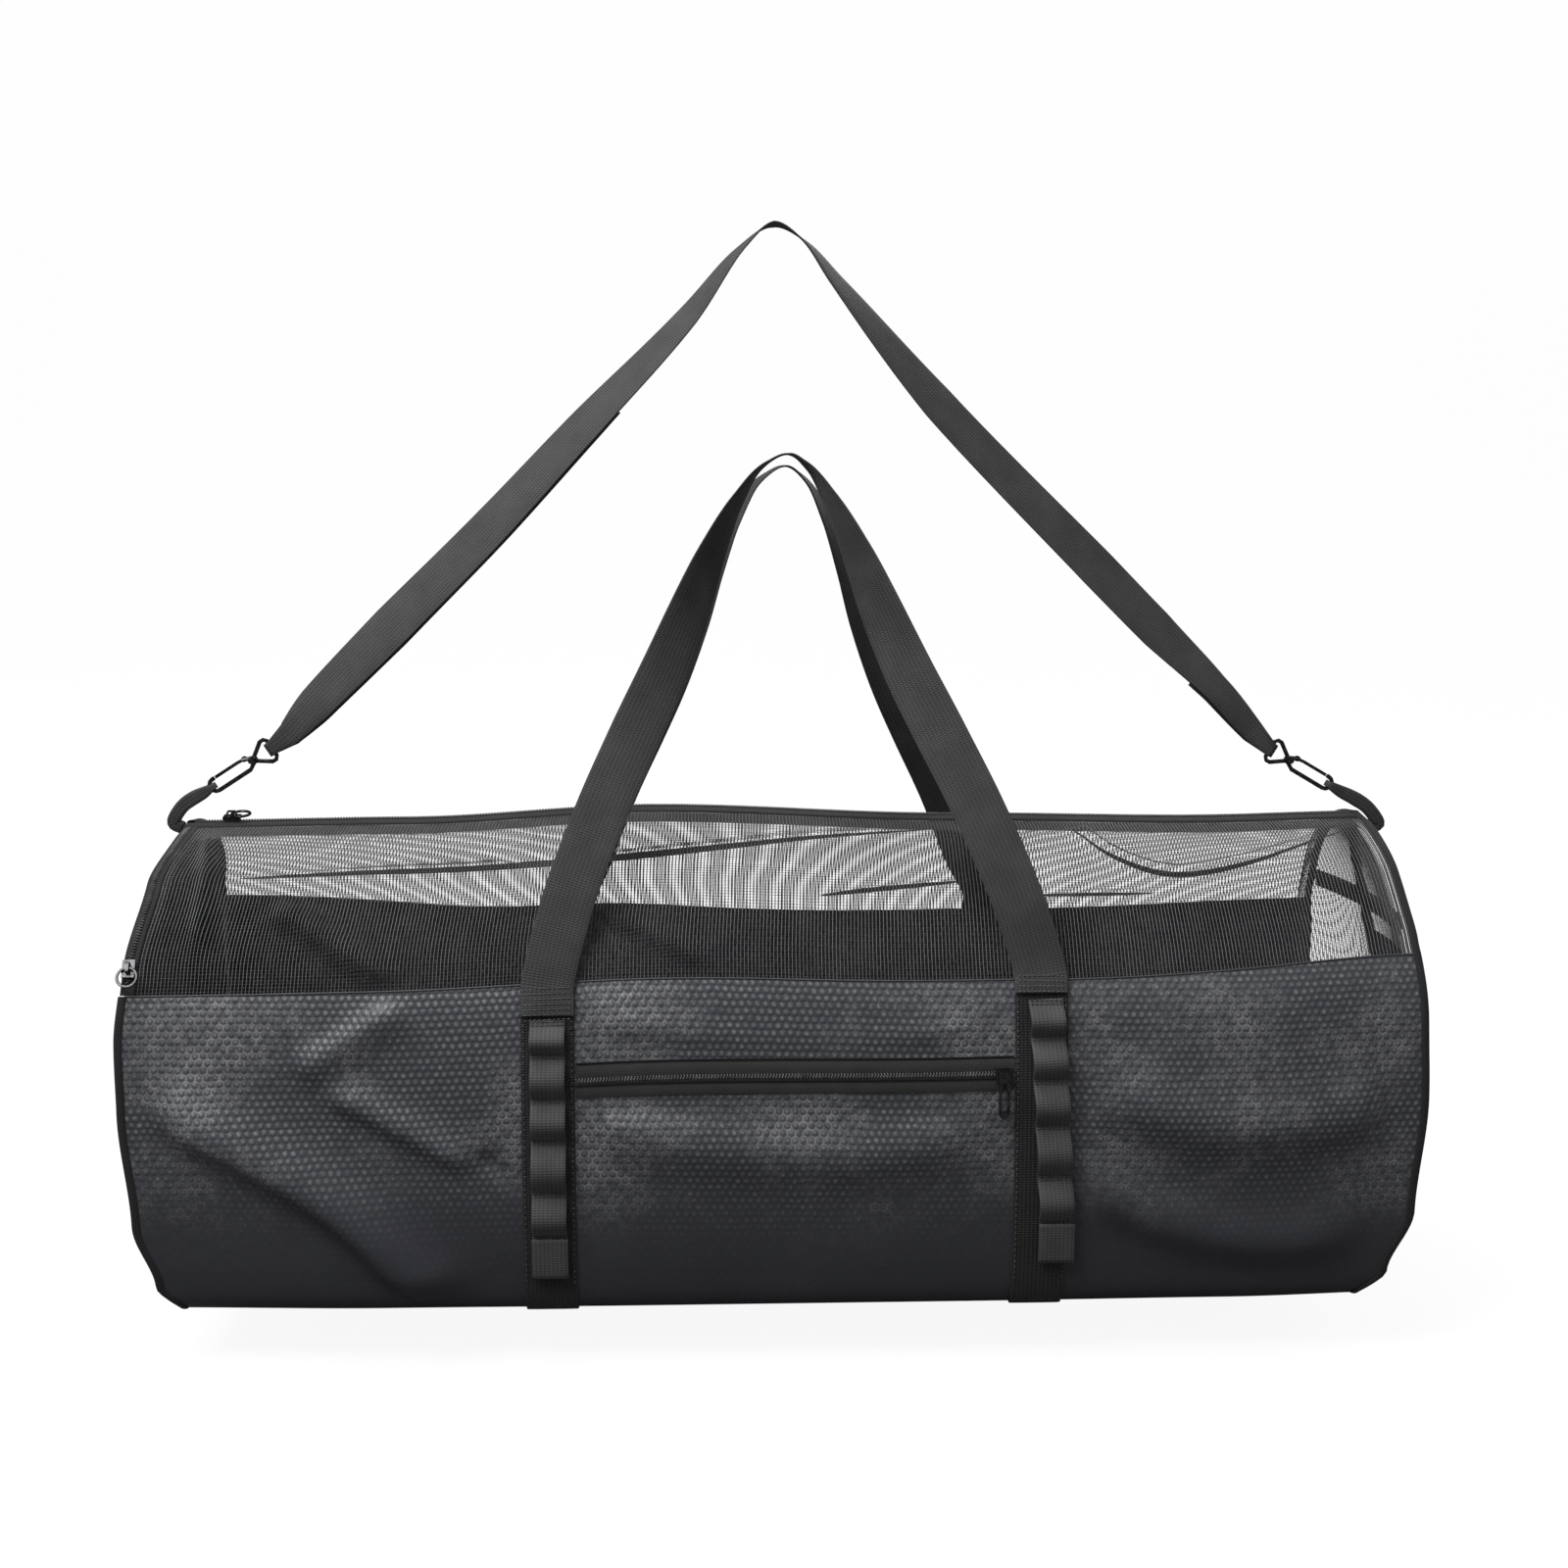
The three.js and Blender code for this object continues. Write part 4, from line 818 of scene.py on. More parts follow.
def panel_point(end, girth, across, lift=0.0):
    """Points on an end: across runs from -1 at the front edge to 1 at the back edge."""
    girth, across = np.broadcast_arrays(np.asarray(girth, float), np.asarray(across, float))
    t = ((1 + across) / 2)[..., None]
    point = panel_edge(end, girth) * (1 - t) + panel_edge(end, 2 - girth) * t
    _, up, _, _ = half_girth(girth)
    swell = PANEL_BULGE * (1 - across ** 2) * np.sin(math.pi * np.minimum(up / BODY_HEIGHT, 1))
    point[..., 0] += END_SIGN[end] * (swell + lift)
    return point


def end_grid(start, stop, rows, columns):
    """Girth shares and places across an end; the fabric's top edge dips behind the middle."""
    across = np.linspace(-1, 1, columns)[None, :]
    dip = END_DIP / GIRTH_LENGTH * smoothstep((across - DIP_START) / DIP_SPREAD)
    first = start + dip * (start == EDGE_GIRTH)
    last = stop + dip * (stop == EDGE_GIRTH)
    t = np.linspace(0, 1, rows)[:, None]
    return first * (1 - t) + last * t, np.broadcast_to(across, (rows, columns))


def panel_piece(name, node, end, start, stop, rows, columns):
    girth, across = end_grid(start, stop, rows, columns)
    points = panel_point(end, girth, across)
    uvs = np.stack([points[..., 1], girth * GIRTH_LENGTH], -1)
    obj = new_piece(name, points, grid_faces(rows, columns), uvs)
    return finish_piece(obj, node, FABRIC)


def seam_points(end, girth, insets, columns, drop):
    """A strip under the cloth beside a rim, dropping inwards."""
    x = end_x(end, girth) - END_SIGN[end] * np.linspace(*insets, columns)[None, :]
    return grid_point(x, girth, SEAM_LIFT - np.linspace(0, drop, columns)[None, :])


panel_piece("end_cloth_left", "end_panel_left", "left", PANEL_TOP, CORNER_END, 90, 60)
panel_piece("end_cloth_right", "end_fabric_right", "right", EDGE_GIRTH, CORNER_END, 60, 60)
end_rows = odd_count((EDGE_GIRTH - PANEL_TOP) * GIRTH_LENGTH, NET_PITCH_Y)
end_net = panel_point("right", *end_grid(PANEL_TOP, EDGE_GIRTH, end_rows, 83), NET_LIFT)
net_piece("end_net_right", "end_mesh_right", end_net, 1, 1, END_RADIUS)
seam_girth = np.linspace(PANEL_TOP, EDGE_GIRTH, end_rows)[:, None]
for side, girth in (("front", seam_girth), ("back", 2 - seam_girth)):
    edge = seam_points("right", girth, (3, 11), 7, 1.0)
    net_piece(f"end_net_edge_{side}", "end_mesh_right", edge, 1, 1)
    strip = seam_points("left", girth, (4, 15), 5, 1.2)
    seam = new_piece(f"end_seam_left_{side}", strip, grid_faces(*strip.shape[:2]))
    finish_piece(seam, "end_panel_left", TAPE_CLOTH)

# Bindings round the rims: inset and lift across the binding, from the end face inwards
RIM_PROFILE = np.array([
    (-0.6, -1.8), (-0.9, -0.6), (-0.5, 0.6), (0.6, 1.4), (1.8, 1.7), (3.0, 1.6), (4.2, 1.4), (5.0, 1.0),
    (5.4, 0.2),
])
RIDGE_JOIN = 1e-4


def rim_piece(name, node, end, start):
    girth = np.linspace(start, 2 - RIDGE_JOIN, 260)
    place_x = end_x(end, girth)
    rows = [grid_point(place_x - END_SIGN[end] * inset, girth, lift) for inset, lift in RIM_PROFILE]
    points = np.stack(rows, 1)
    length = length_along(points[:, 4])
    uvs = np.stack(np.broadcast_arrays(RIM_PROFILE[None, :, 0], length[:, None]), -1)
    obj = new_piece(name, points, grid_faces(*points.shape[:2]), uvs)
    return finish_piece(obj, node, TAPE_CLOTH)


rim_piece("binding_left", "rim_binding_left", "left", EDGE_GIRTH)
rim_piece("binding_right", "rim_binding_right", "right", RIDGE_JOIN)

# Zips
ALONG_BAG = (1.0, 0.0, 0.0)
ACROSS_BAG = (0.0, 1.0, 0.0)
UPWARDS = (0.0, 0.0, 1.0)
RIDGE_TAPE_LIFTS = np.array([-0.2, 0.0, 0.5, 0.7, 0.5, 0.2, -1.2])


def tape_piece(name, node, x, girth, lifts, material=TAPE_CLOTH):
    """A thin tape on the skin: x and girth of each point, lifts the height of each column."""
    points = bag_point(x, girth, lifts)
    wide = np.linalg.norm(points - points[:, :1], axis=-1)
    uvs = np.stack(np.broadcast_arrays(wide, length_along(points[:, 0])[:, None]), -1)
    obj = new_piece(name, points, grid_faces(*points.shape[:2]), uvs)
    return finish_piece(obj, node, material)


coil_edge = COIL_WIDTH / 2 / GIRTH_LENGTH
tape_shares = np.array([
    coil_edge * 0.4, coil_edge * 0.8, coil_edge * 1.6,
    RIDGE_START * 0.5, RIDGE_START * 0.97, RIDGE_START, RIDGE_START,
])
steps = np.linspace(0, 1, 200)[:, None]
tape_x = end_x("left", RIDGE_START) * (1 - steps) + end_x("right", RIDGE_START) * steps
tape_piece("ridge_tape_front", "main_zip_tape_front", tape_x, tape_shares, RIDGE_TAPE_LIFTS)
tape_piece("ridge_tape_back", "main_zip_tape_back", tape_x, 2 - tape_shares, RIDGE_TAPE_LIFTS)

TOOTH_PITCH = 2.2
TOOTH_SLANT = 0.35
# A loop's reach out and past the middle, its rise at both ends, its thickness
TOOTH_LOOPS = [(2.4, 0.5, 0.25, 0.45, 0.62), (1.5, 0.2, 0.75, 0.85, 0.50)]


def coil_piece(name, node, line, across, normal):
    """Two rows of nylon loops that meet in the middle of a zip, on a line of points."""
    across = np.broadcast_to(across, line.shape)
    normal = np.broadcast_to(normal, line.shape)
    lengths = length_along(line)
    count = int(lengths[-1] / TOOTH_PITCH)
    parts = []
    for side, offset in ((-1, 0.25), (1, 0.75)):
        at = (np.arange(count) + offset) * TOOTH_PITCH
        centre = read_line(at, lengths, line)
        out = unit(read_line(at, lengths, across)) * side
        out = unit(out + unit(np.gradient(centre, axis=0)) * TOOTH_SLANT * side)
        up = unit(read_line(at, lengths, normal))
        for outer, inner, outer_rise, inner_rise, radius in TOOTH_LOOPS:
            start = centre + out * outer + up * outer_rise
            parts.append(threads(start, centre - out * inner + up * inner_rise, up, radius))
    obj = new_piece(name, *merge(parts))
    return finish_piece(obj, node, COIL)


ridge_x = np.linspace(end_x("left", 0) + RIM_WIDTH + 1, end_x("right", 0) - RIM_WIDTH - 1, 200)
coil_piece("ridge_coil", "main_zip_coil", bag_point(ridge_x, 0.0, 0.2), ACROSS_BAG, UPWARDS)

# inset, lift of the zip's tape down the left rim
END_TAPE = np.array([
    (0.0, -1.6), (0.4, -0.3), (2, 0.0), (5, 0.0), (8, 0.3), (10.6, 0.3), (11, 0.0), (11.1, -1.4),
])
END_TAPE_GAP = 0.6 / GIRTH_LENGTH
END_COIL_GAP = 0.012
END_COIL_INSET = 3 + COIL_WIDTH / 2

girth = np.linspace(RIDGE_START + END_TAPE_GAP, EDGE_GIRTH - END_TAPE_GAP, 90)[:, None]
x = end_x("left", girth) + END_TAPE[:, 0]
tape_piece("end_tape", "end_zip_tape", x, bend_rows(x, girth), END_TAPE[:, 1])
girth = np.linspace(RIDGE_START + END_COIL_GAP, EDGE_GIRTH - END_COIL_GAP, 120)
x = end_x("left", girth) + END_COIL_INSET
line = grid_point(x, girth, LAYER_GAP)
outward = grid_point(x, girth, LAYER_GAP + 2) - line
coil_piece("end_coil", "end_zip_coil", line, np.cross(np.gradient(line, axis=0), outward), outward)

POCKET_TAPE_WIDTH = 9
POCKET_LIFTS = np.array([0.6, 1.0, 1.2, 1.3, 1.1, 0.2])
# Painted shadows, as near-black strips in the grooves above the upper tape and below the coil: their
# distance down the bag from the zip's middle
POCKET_EDGE_SHADOWS = {
    "upper": -(COIL_WIDTH / 2 + LAYER_GAP + POCKET_TAPE_WIDTH + 0.3),
    "lower": COIL_WIDTH / 2 + 0.6,
}
EDGE_SHADOW_WIDTH = 1.3
EDGE_SHADOW_THICKNESS = 0.8
EDGE_SHADOW_LIFT = 1.5
POCKET_COIL_LIFT = 1.0

pocket_x = np.linspace(STRAP_X["left"] + STRAP_WIDTH / 2 + 1, STRAP_X["right"] - STRAP_WIDTH / 2 - 1, 120)
pocket_share = (pocket_x - pocket_x[0]) / (pocket_x[-1] - pocket_x[0]) - 0.5
pocket_girth = girth_at_height(POCKET_ZIP_HEIGHT + POCKET_ZIP_CLIMB * pocket_share)
inner = (COIL_WIDTH / 2 - 1.6) / GIRTH_LENGTH
outer = (COIL_WIDTH / 2 + LAYER_GAP + POCKET_TAPE_WIDTH) / GIRTH_LENGTH
tape_shares = np.array([inner, inner * 2.2, (inner + outer) / 2, outer * 0.97, outer, outer])
for name, sign in (("upper", -1), ("lower", 1)):
    girth = pocket_girth[:, None] + sign * tape_shares
    node = f"pocket_zip_tape_{name}"
    tape_piece(f"pocket_tape_{name}", node, pocket_x[:, None], girth, POCKET_LIFTS, POCKET_TAPE)
# Dark strips along the pocket zip that paint the shadows in its grooves
for name, offset in POCKET_EDGE_SHADOWS.items():
    line = bag_point(pocket_x, pocket_girth + offset / GIRTH_LENGTH, EDGE_SHADOW_LIFT)
    shadow_strip = ribbon_piece(f"pocket_shadow_strip_{name}", line, UPWARDS, EDGE_SHADOW_WIDTH, EDGE_SHADOW_THICKNESS)
    finish_piece(shadow_strip, f"pocket_zip_tape_{name}", EDGE_SHADOW_CLOTH)
line = bag_point(pocket_x, pocket_girth, POCKET_COIL_LIFT)
outward = bag_point(pocket_x, pocket_girth, POCKET_COIL_LIFT + 2) - line
downward = bag_point(pocket_x, pocket_girth + 2 * TANGENT_REACH, POCKET_COIL_LIFT) - line
coil_piece("pocket_coil", "pocket_zip_coil", line, downward, outward)

# Webbing
STRAP_TOP = float(girth_at_height(FABRIC_EDGE - 2))
for end in ("left", "right"):
    line = grid_point(STRAP_X[end], np.linspace(STRAP_TOP, 2 - STRAP_TOP, 320), LAYER_GAP + WEBBING / 2)
    strap = ribbon_piece(f"girth_webbing_{end}", line, ALONG_BAG, STRAP_WIDTH)
    finish_piece(strap, f"girth_strap_{end}", SHADED_WEBBING)

# side, reach, rise, turn of half a handle, from the bartack to the apex
HANDLE_LEG = [
    (0.915, 0.870, 0.490, 0.00), (0.785, 0.745, 0.587, 0.05), (0.655, 0.625, 0.668, 0.12),
    (0.530, 0.510, 0.743, 0.28), (0.420, 0.405, 0.816, 0.45), (0.325, 0.310, 0.881, 0.64),
    (0.215, 0.215, 0.943, 0.82), (0.105, 0.148, 0.985, 0.95),
]
HANDLE_TOP = (0.128, 1.0)
BACK_HANDLE_DROP = 22
LEG_BOW = {"left": 1.0, "right": 1.12}
HANDLE_TACKS = {"left": (220, 239), "right": (236, 248)}
BACK_FOOT = 24
TURN_BLUR = 13


def handle_leg(end, face, drop):
    """Places and turns of the webbing from one tack almost to the apex."""
    bottom, top = HANDLE_TACKS[end]
    bottom -= BACK_FOOT if face > 0 else 0
    rows = []
    for height in (bottom, (bottom + top) / 2, top):
        share = float(girth_at_height(height))
        at = bag_point(STRAP_X[end], share if face < 0 else 2 - share, 1.5 * WEBBING + 3 * LAYER_GAP)
        rows.append((*at, 0.0))
    for spread, reach, rise, turn in HANDLE_LEG:
        x = STRAP_MIDDLE + END_SIGN[end] * spread ** LEG_BOW[end] * STRAP_SPACING / 2
        z = rise * HANDLE_RISE - drop * (1 - 0.6 * turn)
        rows.append((x, face * reach * HALF_DEPTH, z, turn))
    return rows


def handle_line(face):
    """Centre line and direction across the webbing for the handle on one face of the bag."""
    drop = BACK_HANDLE_DROP if face > 0 else 0
    reach, rise = HANDLE_TOP
    apex = (STRAP_MIDDLE, face * reach * HALF_DEPTH, rise * HANDLE_RISE - 0.4 * drop, 1.0)
    rows = np.array(handle_leg("left", face, drop) + [apex] + handle_leg("right", face, drop)[::-1])
    line = catmull(rows[:, :3], 12)
    slots = np.linspace(0, len(rows) - 1, len(line))
    turn = np.interp(slots, np.arange(len(rows)), rows[:, 3]) * math.pi / 2
    kernel = np.hanning(TURN_BLUR) / np.hanning(TURN_BLUR).sum()
    turn = np.convolve(np.pad(turn, TURN_BLUR // 2, mode="edge"), kernel, mode="valid")
    sign = np.where(slots <= (len(rows) - 1) / 2, 1.0, -1.0)
    return line, np.stack([sign * np.cos(turn), -face * np.sin(turn), np.zeros(len(turn))], -1)


for name, face in (("front", -1), ("back", 1)):
    handle = ribbon_piece(f"handle_webbing_{name}", *handle_line(face), STRAP_WIDTH)
    finish_piece(handle, f"handle_{name}", WEBBING_CLOTH)

# Heights of the chain's tacks; it is shifted from its strap, and leans off it towards the foot
DAISY_LOOPS = {"left": [213, 190, 159, 129, 91, 59], "right": [228, 203, 172, 139, 101, 67]}
DAISY_SHIFT = {"left": 0, "right": 3}
DAISY_LEAN = {"left": 0, "right": 9}
LOOP_BULGE = 8
LOOP_SAG = 1.15
TACK_LENGTH = 4
TAB_DROP = 25
# down, out: the end tab's curve, as shares of its drop and in millimetres
TAB_CURVE = [(0.25, 0.6), (0.6, 1.0), (1.0, 1.0)]


def chain_x(end, height):
    heights = DAISY_LOOPS[end]
    down = (heights[0] - height) / (heights[0] - heights[-1])
    return STRAP_X[end] + DAISY_SHIFT[end] + DAISY_LEAN[end] * down


def daisy_line(end):
    heights = DAISY_LOOPS[end]
    rows = [(heights[0] + TACK_LENGTH, 0), (heights[0], 0)]
    for upper, lower in zip(heights, heights[1:]):
        stop = lower + TACK_LENGTH
        for t in np.linspace(0, 1, 17)[1:-1]:
            rows.append((upper + (stop - upper) * t, 0.2 + LOOP_BULGE * math.sin(math.pi * t ** LOOP_SAG)))
        rows += [(stop, 0), (lower, 0)]
    rows += [(heights[-1] - TAB_DROP * down, out) for down, out in TAB_CURVE]
    height, out = np.array(rows).T
    base = LAYER_GAP * 2 + WEBBING * 1.5 + 0.1
    return bag_point(chain_x(end, height), girth_at_height(height), base + out)


for end in ("left", "right"):
    chain = ribbon_piece(f"chain_webbing_{end}", daisy_line(end), ALONG_BAG, DAISY_WIDTH)
    finish_piece(chain, f"daisy_chain_{end}", LIT_CHAIN_CLOTH)

for end in ("left", "right"):
    foot = DAISY_LOOPS[end][-1]
    girth = girth_at_height(foot + 2 - np.linspace(0, TAB_DROP + 4, 12))
    line = bag_point(chain_x(end, foot), girth, LAYER_GAP * 3 + WEBBING * 3)
    fold = ribbon_piece(f"chain_tab_{end}", line, ALONG_BAG, DAISY_WIDTH + 1)
    finish_piece(fold, f"daisy_chain_{end}", LIT_CHAIN_CLOTH)

# Stitching
STITCH_RADIUS = 0.42
TACK_STITCH = (2.6, 0.8)
EDGE_STITCH = (3.0, 1.4)
HANDLE_FACE = 2 * WEBBING + 3 * LAYER_GAP + 0.05
CHAIN_FACE = 2 * WEBBING + 2 * LAYER_GAP + 0.15
STRAP_FACE = LAYER_GAP + WEBBING + 0.05
TACK_ROWS = {"left": np.arange(238, 215, -3.4), "right": np.arange(247, 235, -3.4)}
TACK_HALF = 17
CHAIN_TACK_HALF = 12
EDGE_STITCH_X = STRAP_WIDTH / 2 - 1.8
EDGE_STITCH_FOOT = 24


def stitch_line(x, height, lift, stitch):
    """Stitches on the front from the first to the second x and height, at a lift off the skin."""
    length, gap = stitch
    x = np.linspace(*x, 400)
    girth = girth_at_height(np.linspace(*height, 400))
    line = bag_point(x, girth, lift)
    normal = bag_point(x, girth, lift + 1.0) - line
    lengths = length_along(line)
    begin = np.arange(0, lengths[-1] - length, length + gap)
    begin += (lengths[-1] - begin[-1] - length) / 2
    start, stop = (read_line(at, lengths, line) for at in (begin, begin + length))
    return threads(start, stop, read_line(begin, lengths, normal), STITCH_RADIUS)


def stitches(name, parts):
    finish_piece(new_piece(name, *merge(parts)), None, THREAD)


for end in ("left", "right"):
    middle = STRAP_X[end]
    rows = [
        stitch_line((middle - TACK_HALF, middle + TACK_HALF), (height, height), HANDLE_FACE, TACK_STITCH)
        for height in TACK_ROWS[end]
    ]
    stitches(f"bartack_{end}", rows)
    heights = (HANDLE_TACKS[end][0] - 3, EDGE_STITCH_FOOT)
    edges = [
        stitch_line((middle + side, middle + side), heights, STRAP_FACE, EDGE_STITCH)
        for side in (-EDGE_STITCH_X, EDGE_STITCH_X)
    ]
    stitches(f"strap_stitches_{end}", edges)
    tacks = []
    for height in DAISY_LOOPS[end]:
        ends = (chain_x(end, height) - CHAIN_TACK_HALF, chain_x(end, height) + CHAIN_TACK_HALF)
        for rise in (0.8, 3.2):
            tacks.append(stitch_line(ends, (height + rise, height + rise), CHAIN_FACE, TACK_STITCH))
    stitches(f"chain_stitches_{end}", tacks)

# Hooks, tabs and the shoulder strap
HOOK_LENGTH = 57
HOOK_WIRE = 1.7
HOOK_PLACES = {
    "left": (np.array([-386.0, 0.0, 395.0]), np.array([-0.84, 0.0, -0.543])),
    "right": (np.array([390.0, 0.0, 390.7]), np.array([0.86, 0.0, -0.51])),
}
# along, drop, face, width of the webbing tabs from the hook's nose
TAB_ROWS = [
    (-4.3, 0.0, 0.0, 5.0), (-2.2, 0.0, 3.4, 5.0), (0.2, 0.0, 4.2, 6.0), (7.0, 0.0, 3.8, 9.5),
    (16.0, -1.0, 4.2, 11.0), (25.0, 0.5, 3.6, 10.0), (31.0, 8.0, 2.6, 9.5),
]
TAB_STRETCH = {"left": 1.12, "right": 1.45}
TAB_FOOT = {"left": (24.0, 16.5, 2.2, 9.0), "right": (25.0, 13.5, 2.2, 9.0)}
NOSE_GAP = 0.4


def hook_frame(end):
    """The direction across a hook, and a function for points along and across it from its eye."""
    eye, ahead = HOOK_PLACES[end]
    ahead = ahead / np.linalg.norm(ahead)
    side = np.array([-ahead[2], 0, ahead[0]]) * END_SIGN[end]
    return side, lambda along, across: eye + ahead * along + side * across


def tab_line(end):
    """Centre line, direction across and width of a tab, from its front foot round to its back one."""
    side, at = hook_frame(end)
    rows = TAB_ROWS + [TAB_FOOT[end]]

    def spot(row, sign):
        along, drop, face, width = row
        x, _, z = at(HOOK_LENGTH - NOSE_GAP + along * (TAB_STRETCH[end] if along > 0 else 1), 0)
        return x, sign * face, z - drop, width

    smooth = catmull([spot(row, -1) for row in rows[::-1]] + [spot(row, 1) for row in rows[1:]], 5)
    tangent = unit(np.gradient(smooth[:, :3], axis=0))
    half = np.where(np.arange(len(smooth)) < len(smooth) / 2, -1.0, 1.0) * END_SIGN[end]
    turned = np.stack([-tangent[:, 2], np.zeros(len(smooth)), tangent[:, 0]], -1) * half[:, None]
    return smooth[:, :3], unit(turned + side * tangent[:, 1:2] ** 2), smooth[:, 3]


for end in ("left", "right"):
    tab = ribbon_piece(f"tab_webbing_{end}", *tab_line(end))
    finish_piece(tab, f"tab_{end}", WEBBING_CLOTH)

# x, z, turn, width along the shoulder strap
STRAP_ROUTE = np.array([
    (-372, 406, 0.10, 19), (-352, 428, 0.25, 30), (-292, 488, 0.35, 38), (-215, 564, 0.42, 38),
    (-140, 643, 0.52, 38), (-64, 722, 0.70, 38), (-24, 772, 0.90, 38), (1, 790, 1.00, 38),
    (24, 778, 0.92, 38), (50, 747, 0.78, 38), (126, 658, 0.48, 38), (251, 532, 0.38, 38),
    (298, 485, 0.40, 38), (346, 439, 0.45, 30), (376, 405, 0.20, 19),
])
REAR_SPREAD = 3.4
RETURN_SPREAD = 3.0
# Where the doubled stretch and its rear layer stop and the right return starts, in rows of the route
DOUBLED = 11 / 34 * 14
REAR_STOP = DOUBLED * 0.93
RETURN_START = 12.65
EYE_WIDTH = 11.0


def eye_turn(end):
    """The strap's half turn round the bar of a hook, from front to back."""
    side, at = hook_frame(end)
    radius = HOOK_WIRE + LAYER_GAP + WEBBING / 2 + 0.4
    turns = np.linspace(0, math.pi, 13)
    points = np.array([at(radius * math.sin(a), 0) for a in turns])
    points[:, 1] = -radius * np.cos(turns)
    return points, np.tile(side, (13, 1)), np.full(13, EYE_WIDTH)


def facing(vectors, axis):
    """Turns vectors round so that they all point the same way along an axis."""
    return vectors * np.where(vectors[:, axis:axis + 1] < 0, -1, 1)


def shoulder_line():
    """Centre line, direction across and width: up the doubled rear layer, over, and back at the right."""
    rows = len(STRAP_ROUTE)
    path = catmull(np.stack([STRAP_ROUTE[:, 0], np.zeros(rows), STRAP_ROUTE[:, 1]], -1), 10)
    slots = np.linspace(0, rows - 1, len(path))
    turn, width = (np.interp(slots, np.arange(rows), STRAP_ROUTE[:, k]) for k in (2, 3))
    turn = turn[:, None] * math.pi / 2
    tangent = unit(np.gradient(path, axis=0))
    square = facing(np.stack([-tangent[:, 2], np.zeros(len(path)), tangent[:, 0]], -1), 2)
    across = square * np.cos(turn) + np.array(ACROSS_BAG) * np.sin(turn)
    face = facing(unit(np.cross(tangent, across)), 1)
    spread = REAR_SPREAD * np.maximum(1 - slots / DOUBLED, 0.45)
    forward = np.where(slots < DOUBLED, spread * 0.5 * np.clip((DOUBLED - slots) * 1.2, 0, 1), 0)
    rear = slice(int(np.searchsorted(slots, REAR_STOP)) - 1, None, -1)
    late = slots > RETURN_START
    parts = [
        ((path + face * spread[:, None])[rear], across[rear], width[rear]),
        [column[::-1] for column in eye_turn("left")],
        (path - face * forward[:, None], across, width),
        eye_turn("right"),
        ((path + face * RETURN_SPREAD)[late][::-1], across[late][::-1], width[late][::-1]),
    ]
    return [np.concatenate(column) for column in zip(*parts)]


strap = ribbon_piece("shoulder_webbing", *shoulder_line())
finish_piece(strap, "shoulder_strap", WEBBING_CLOTH)

END_STRAP_WIDTH = 25
END_STRAP_FOOT = 220
CROSS_HEIGHT = 268
CROSS_WIDTH = 14
CROSS_REACH = 0.86

girth = np.linspace(PANEL_TOP + 0.02, float(girth_at_height(END_STRAP_FOOT)), 60)
line = panel_point("right", girth, 0.0, LAYER_GAP + WEBBING / 2)
upright = ribbon_piece("end_webbing_vertical", line, ACROSS_BAG, END_STRAP_WIDTH)
finish_piece(upright, "end_strap_vertical", WEBBING_CLOTH)
across = np.linspace(-CROSS_REACH, CROSS_REACH, 60)
line = panel_point("right", girth_at_height(CROSS_HEIGHT), across, 2.6 * LAYER_GAP + WEBBING * 1.5)
crossing = ribbon_piece("end_webbing_cross", line, UPWARDS, CROSS_WIDTH)
finish_piece(crossing, "end_strap_cross", WEBBING_CLOTH)

# Metal fittings keep their CAD shape, with rounded edges
for name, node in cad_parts.items():
    if name.startswith("hook") or name.endswith(("slider", "pull")):
        node.data.materials.clear()
        node.data.materials.append(METAL)
        edges = node.modifiers.new("edges", "BEVEL")
        edges.width = 0.0003
        edges.segments = 2
        edges.limit_method = "ANGLE"
        edges.angle_limit = math.radians(40)
        edges.harden_normals = True
        for polygon in node.data.polygons:
            polygon.use_smooth = True

# Floor, light and camera, in metres and watts
FLOOR_PROFILE = [(-6.0, 0.0), (3.0, 0.0), (4.2, 0.15), (5.2, 0.7), (5.8, 1.6), (6.0, 3.0), (6.0, 9.0)]
FLOOR_HALF = 14.0
FLOOR_GLOW = 0.92
WORLD_LIGHT = 0.34
# name, place, aim, width and length, power
LIGHTS = [
    ("key", (-1.1, -1.3, 2.1), (-0.15, 0, 0.2), (1.2, 0.7), 34),
    ("fill", (1.5, -1.5, 1.3), (0.1, 0, 0.2), (0.9, 0.9), 1),
    ("top", (-0.6, -0.2, 2.4), (-0.25, 0, 0.2), (1.9, 1.0), 38),
    ("rear", (0.6, 2.4, 1.9), (0, 0, 0.2), (1.6, 1.0), 14),
]
CAMERA_PLACE = (-0.0539, -1.6938, 0.6070)
CAMERA_AIM = (0.03628, 0.98936, -0.14090)
SENSOR_WIDTH = 36
FOCAL_SHARE = 2250 / 1600


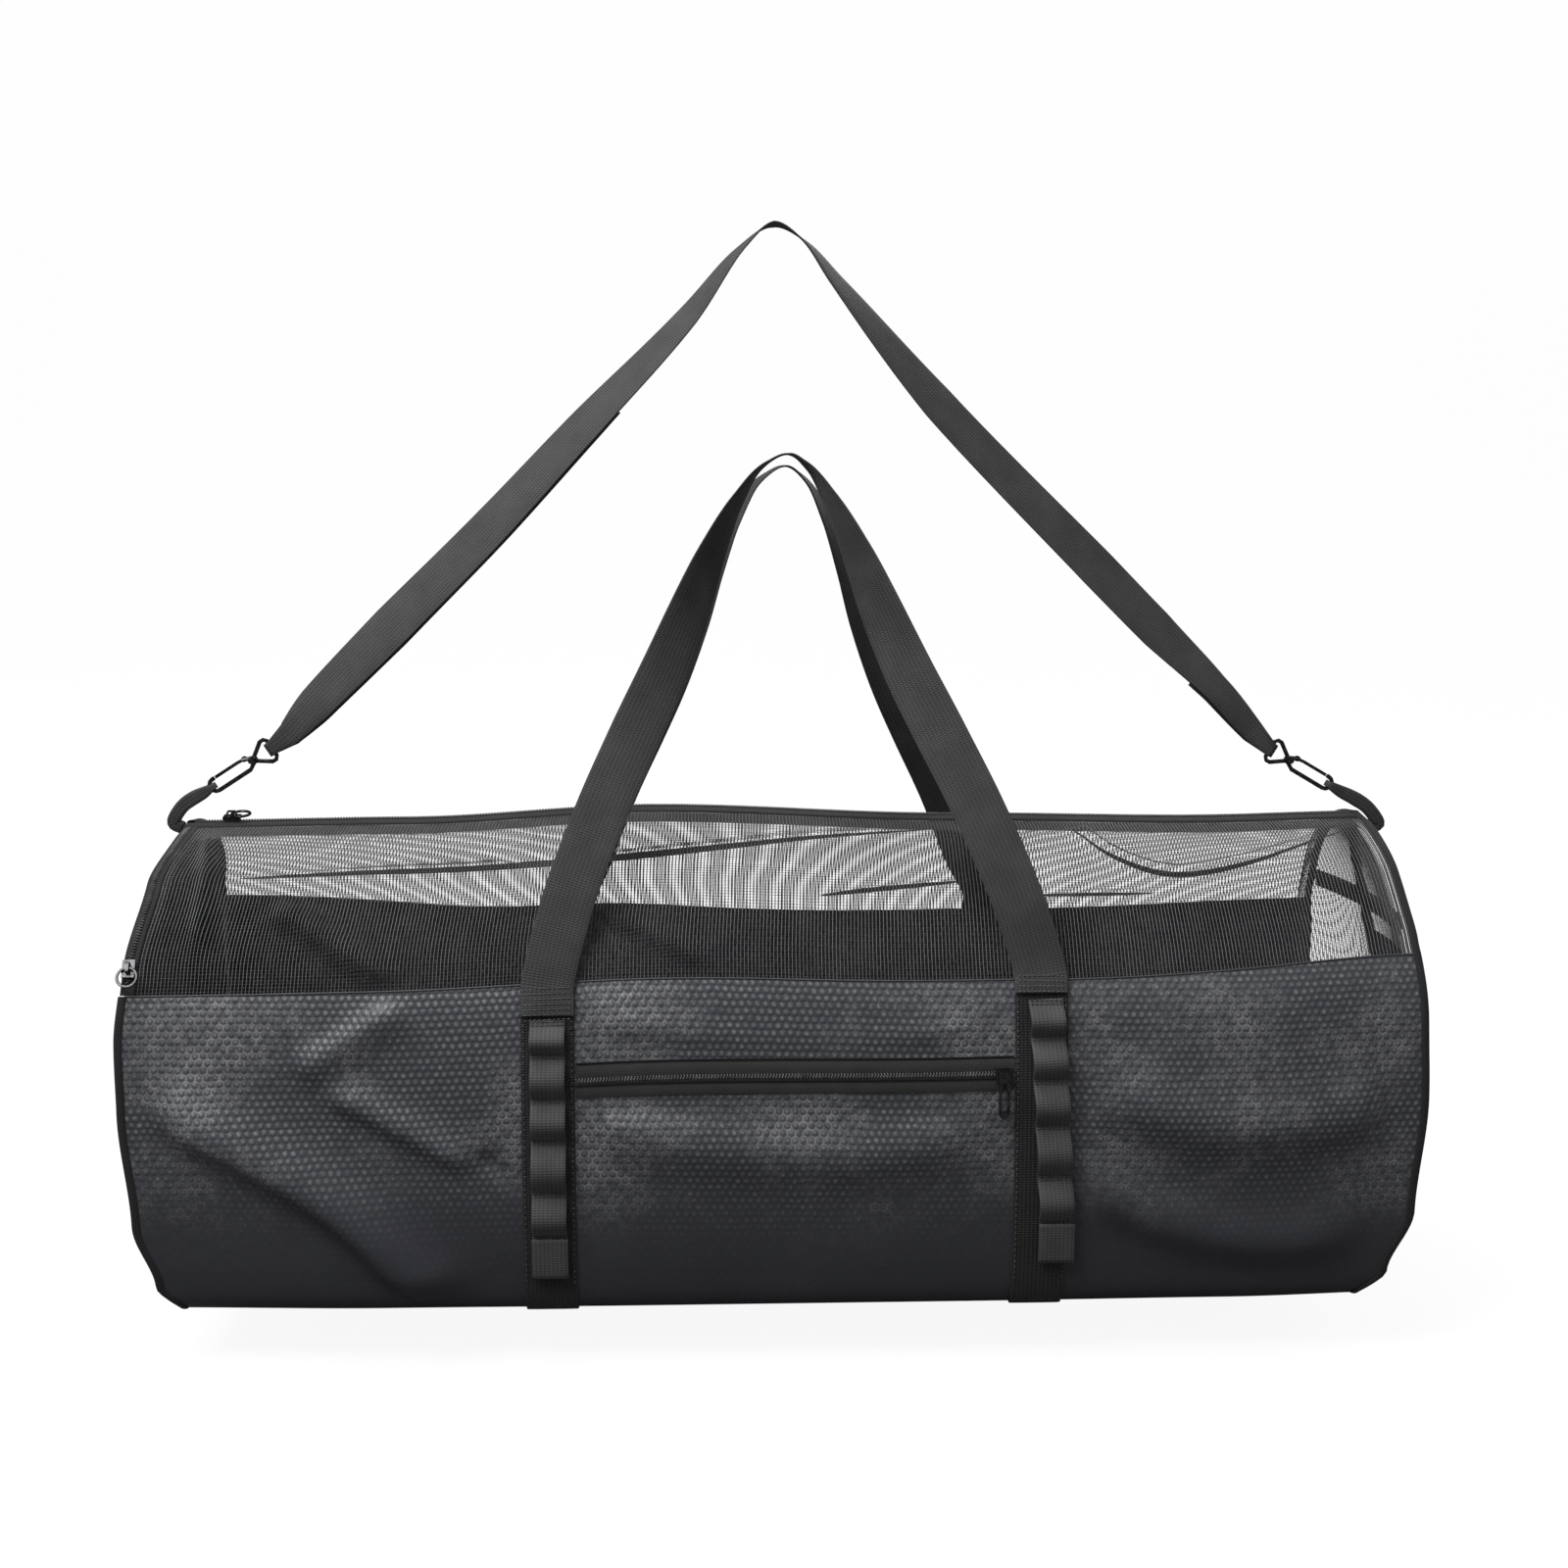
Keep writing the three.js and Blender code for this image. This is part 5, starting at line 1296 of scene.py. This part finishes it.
def white_floor():
    """A sweep that glows white, so that it lights itself and not the bag."""
    line = catmull([(0.0, y, z) for y, z in FLOOR_PROFILE], 8)
    points = np.stack([line + np.array([x, 0, 0]) for x in (-FLOOR_HALF, FLOOR_HALF)], 1)
    mesh = bpy.data.meshes.new("floor")
    mesh.from_pydata([tuple(p) for p in points.reshape(-1, 3)], [], grid_faces(len(line), 2).tolist())
    for polygon in mesh.polygons:
        polygon.use_smooth = True
    floor = bpy.data.objects.new("floor", mesh)
    bpy.context.scene.collection.objects.link(floor)
    material, _, shader = node_kit("floor_white", 0.9)
    shader.inputs["Base Color"].default_value = (0.12, 0.12, 0.12, 1)
    shader.inputs["Specular IOR Level"].default_value = 0.0
    shader.inputs["Emission Color"].default_value = (1, 1, 1, 1)
    shader.inputs["Emission Strength"].default_value = FLOOR_GLOW
    mesh.materials.append(material)
    lit_by_floor = bpy.data.collections.new("lit_by_floor")
    lit_by_floor.objects.link(floor)
    floor.light_linking.receiver_collection = lit_by_floor


def lights():
    world = bpy.data.worlds.new("studio")
    bpy.context.scene.world = world
    world.use_nodes = True
    background = world.node_tree.nodes["Background"]
    background.inputs["Color"].default_value = (1, 1, 1, 1)
    background.inputs["Strength"].default_value = WORLD_LIGHT
    for name, where, aim, size, power in LIGHTS:
        light = bpy.data.lights.new(name, "AREA")
        light.shape = "RECTANGLE"
        light.size, light.size_y = size
        light.energy = power
        obj = bpy.data.objects.new(name, light)
        obj.location = where
        obj.rotation_euler = (Vector(aim) - Vector(where)).to_track_quat("-Z", "Y").to_euler()
        bpy.context.scene.collection.objects.link(obj)


def camera():
    data = bpy.data.cameras.new("camera")
    data.sensor_width = SENSOR_WIDTH
    data.lens = SENSOR_WIDTH * FOCAL_SHARE
    obj = bpy.data.objects.new("camera", data)
    obj.location = CAMERA_PLACE
    obj.rotation_euler = Vector(CAMERA_AIM).to_track_quat("-Z", "Y").to_euler()
    bpy.context.scene.collection.objects.link(obj)
    bpy.context.scene.camera = obj


white_floor()
lights()
camera()
bpy.context.scene.view_settings.view_transform = "Standard"
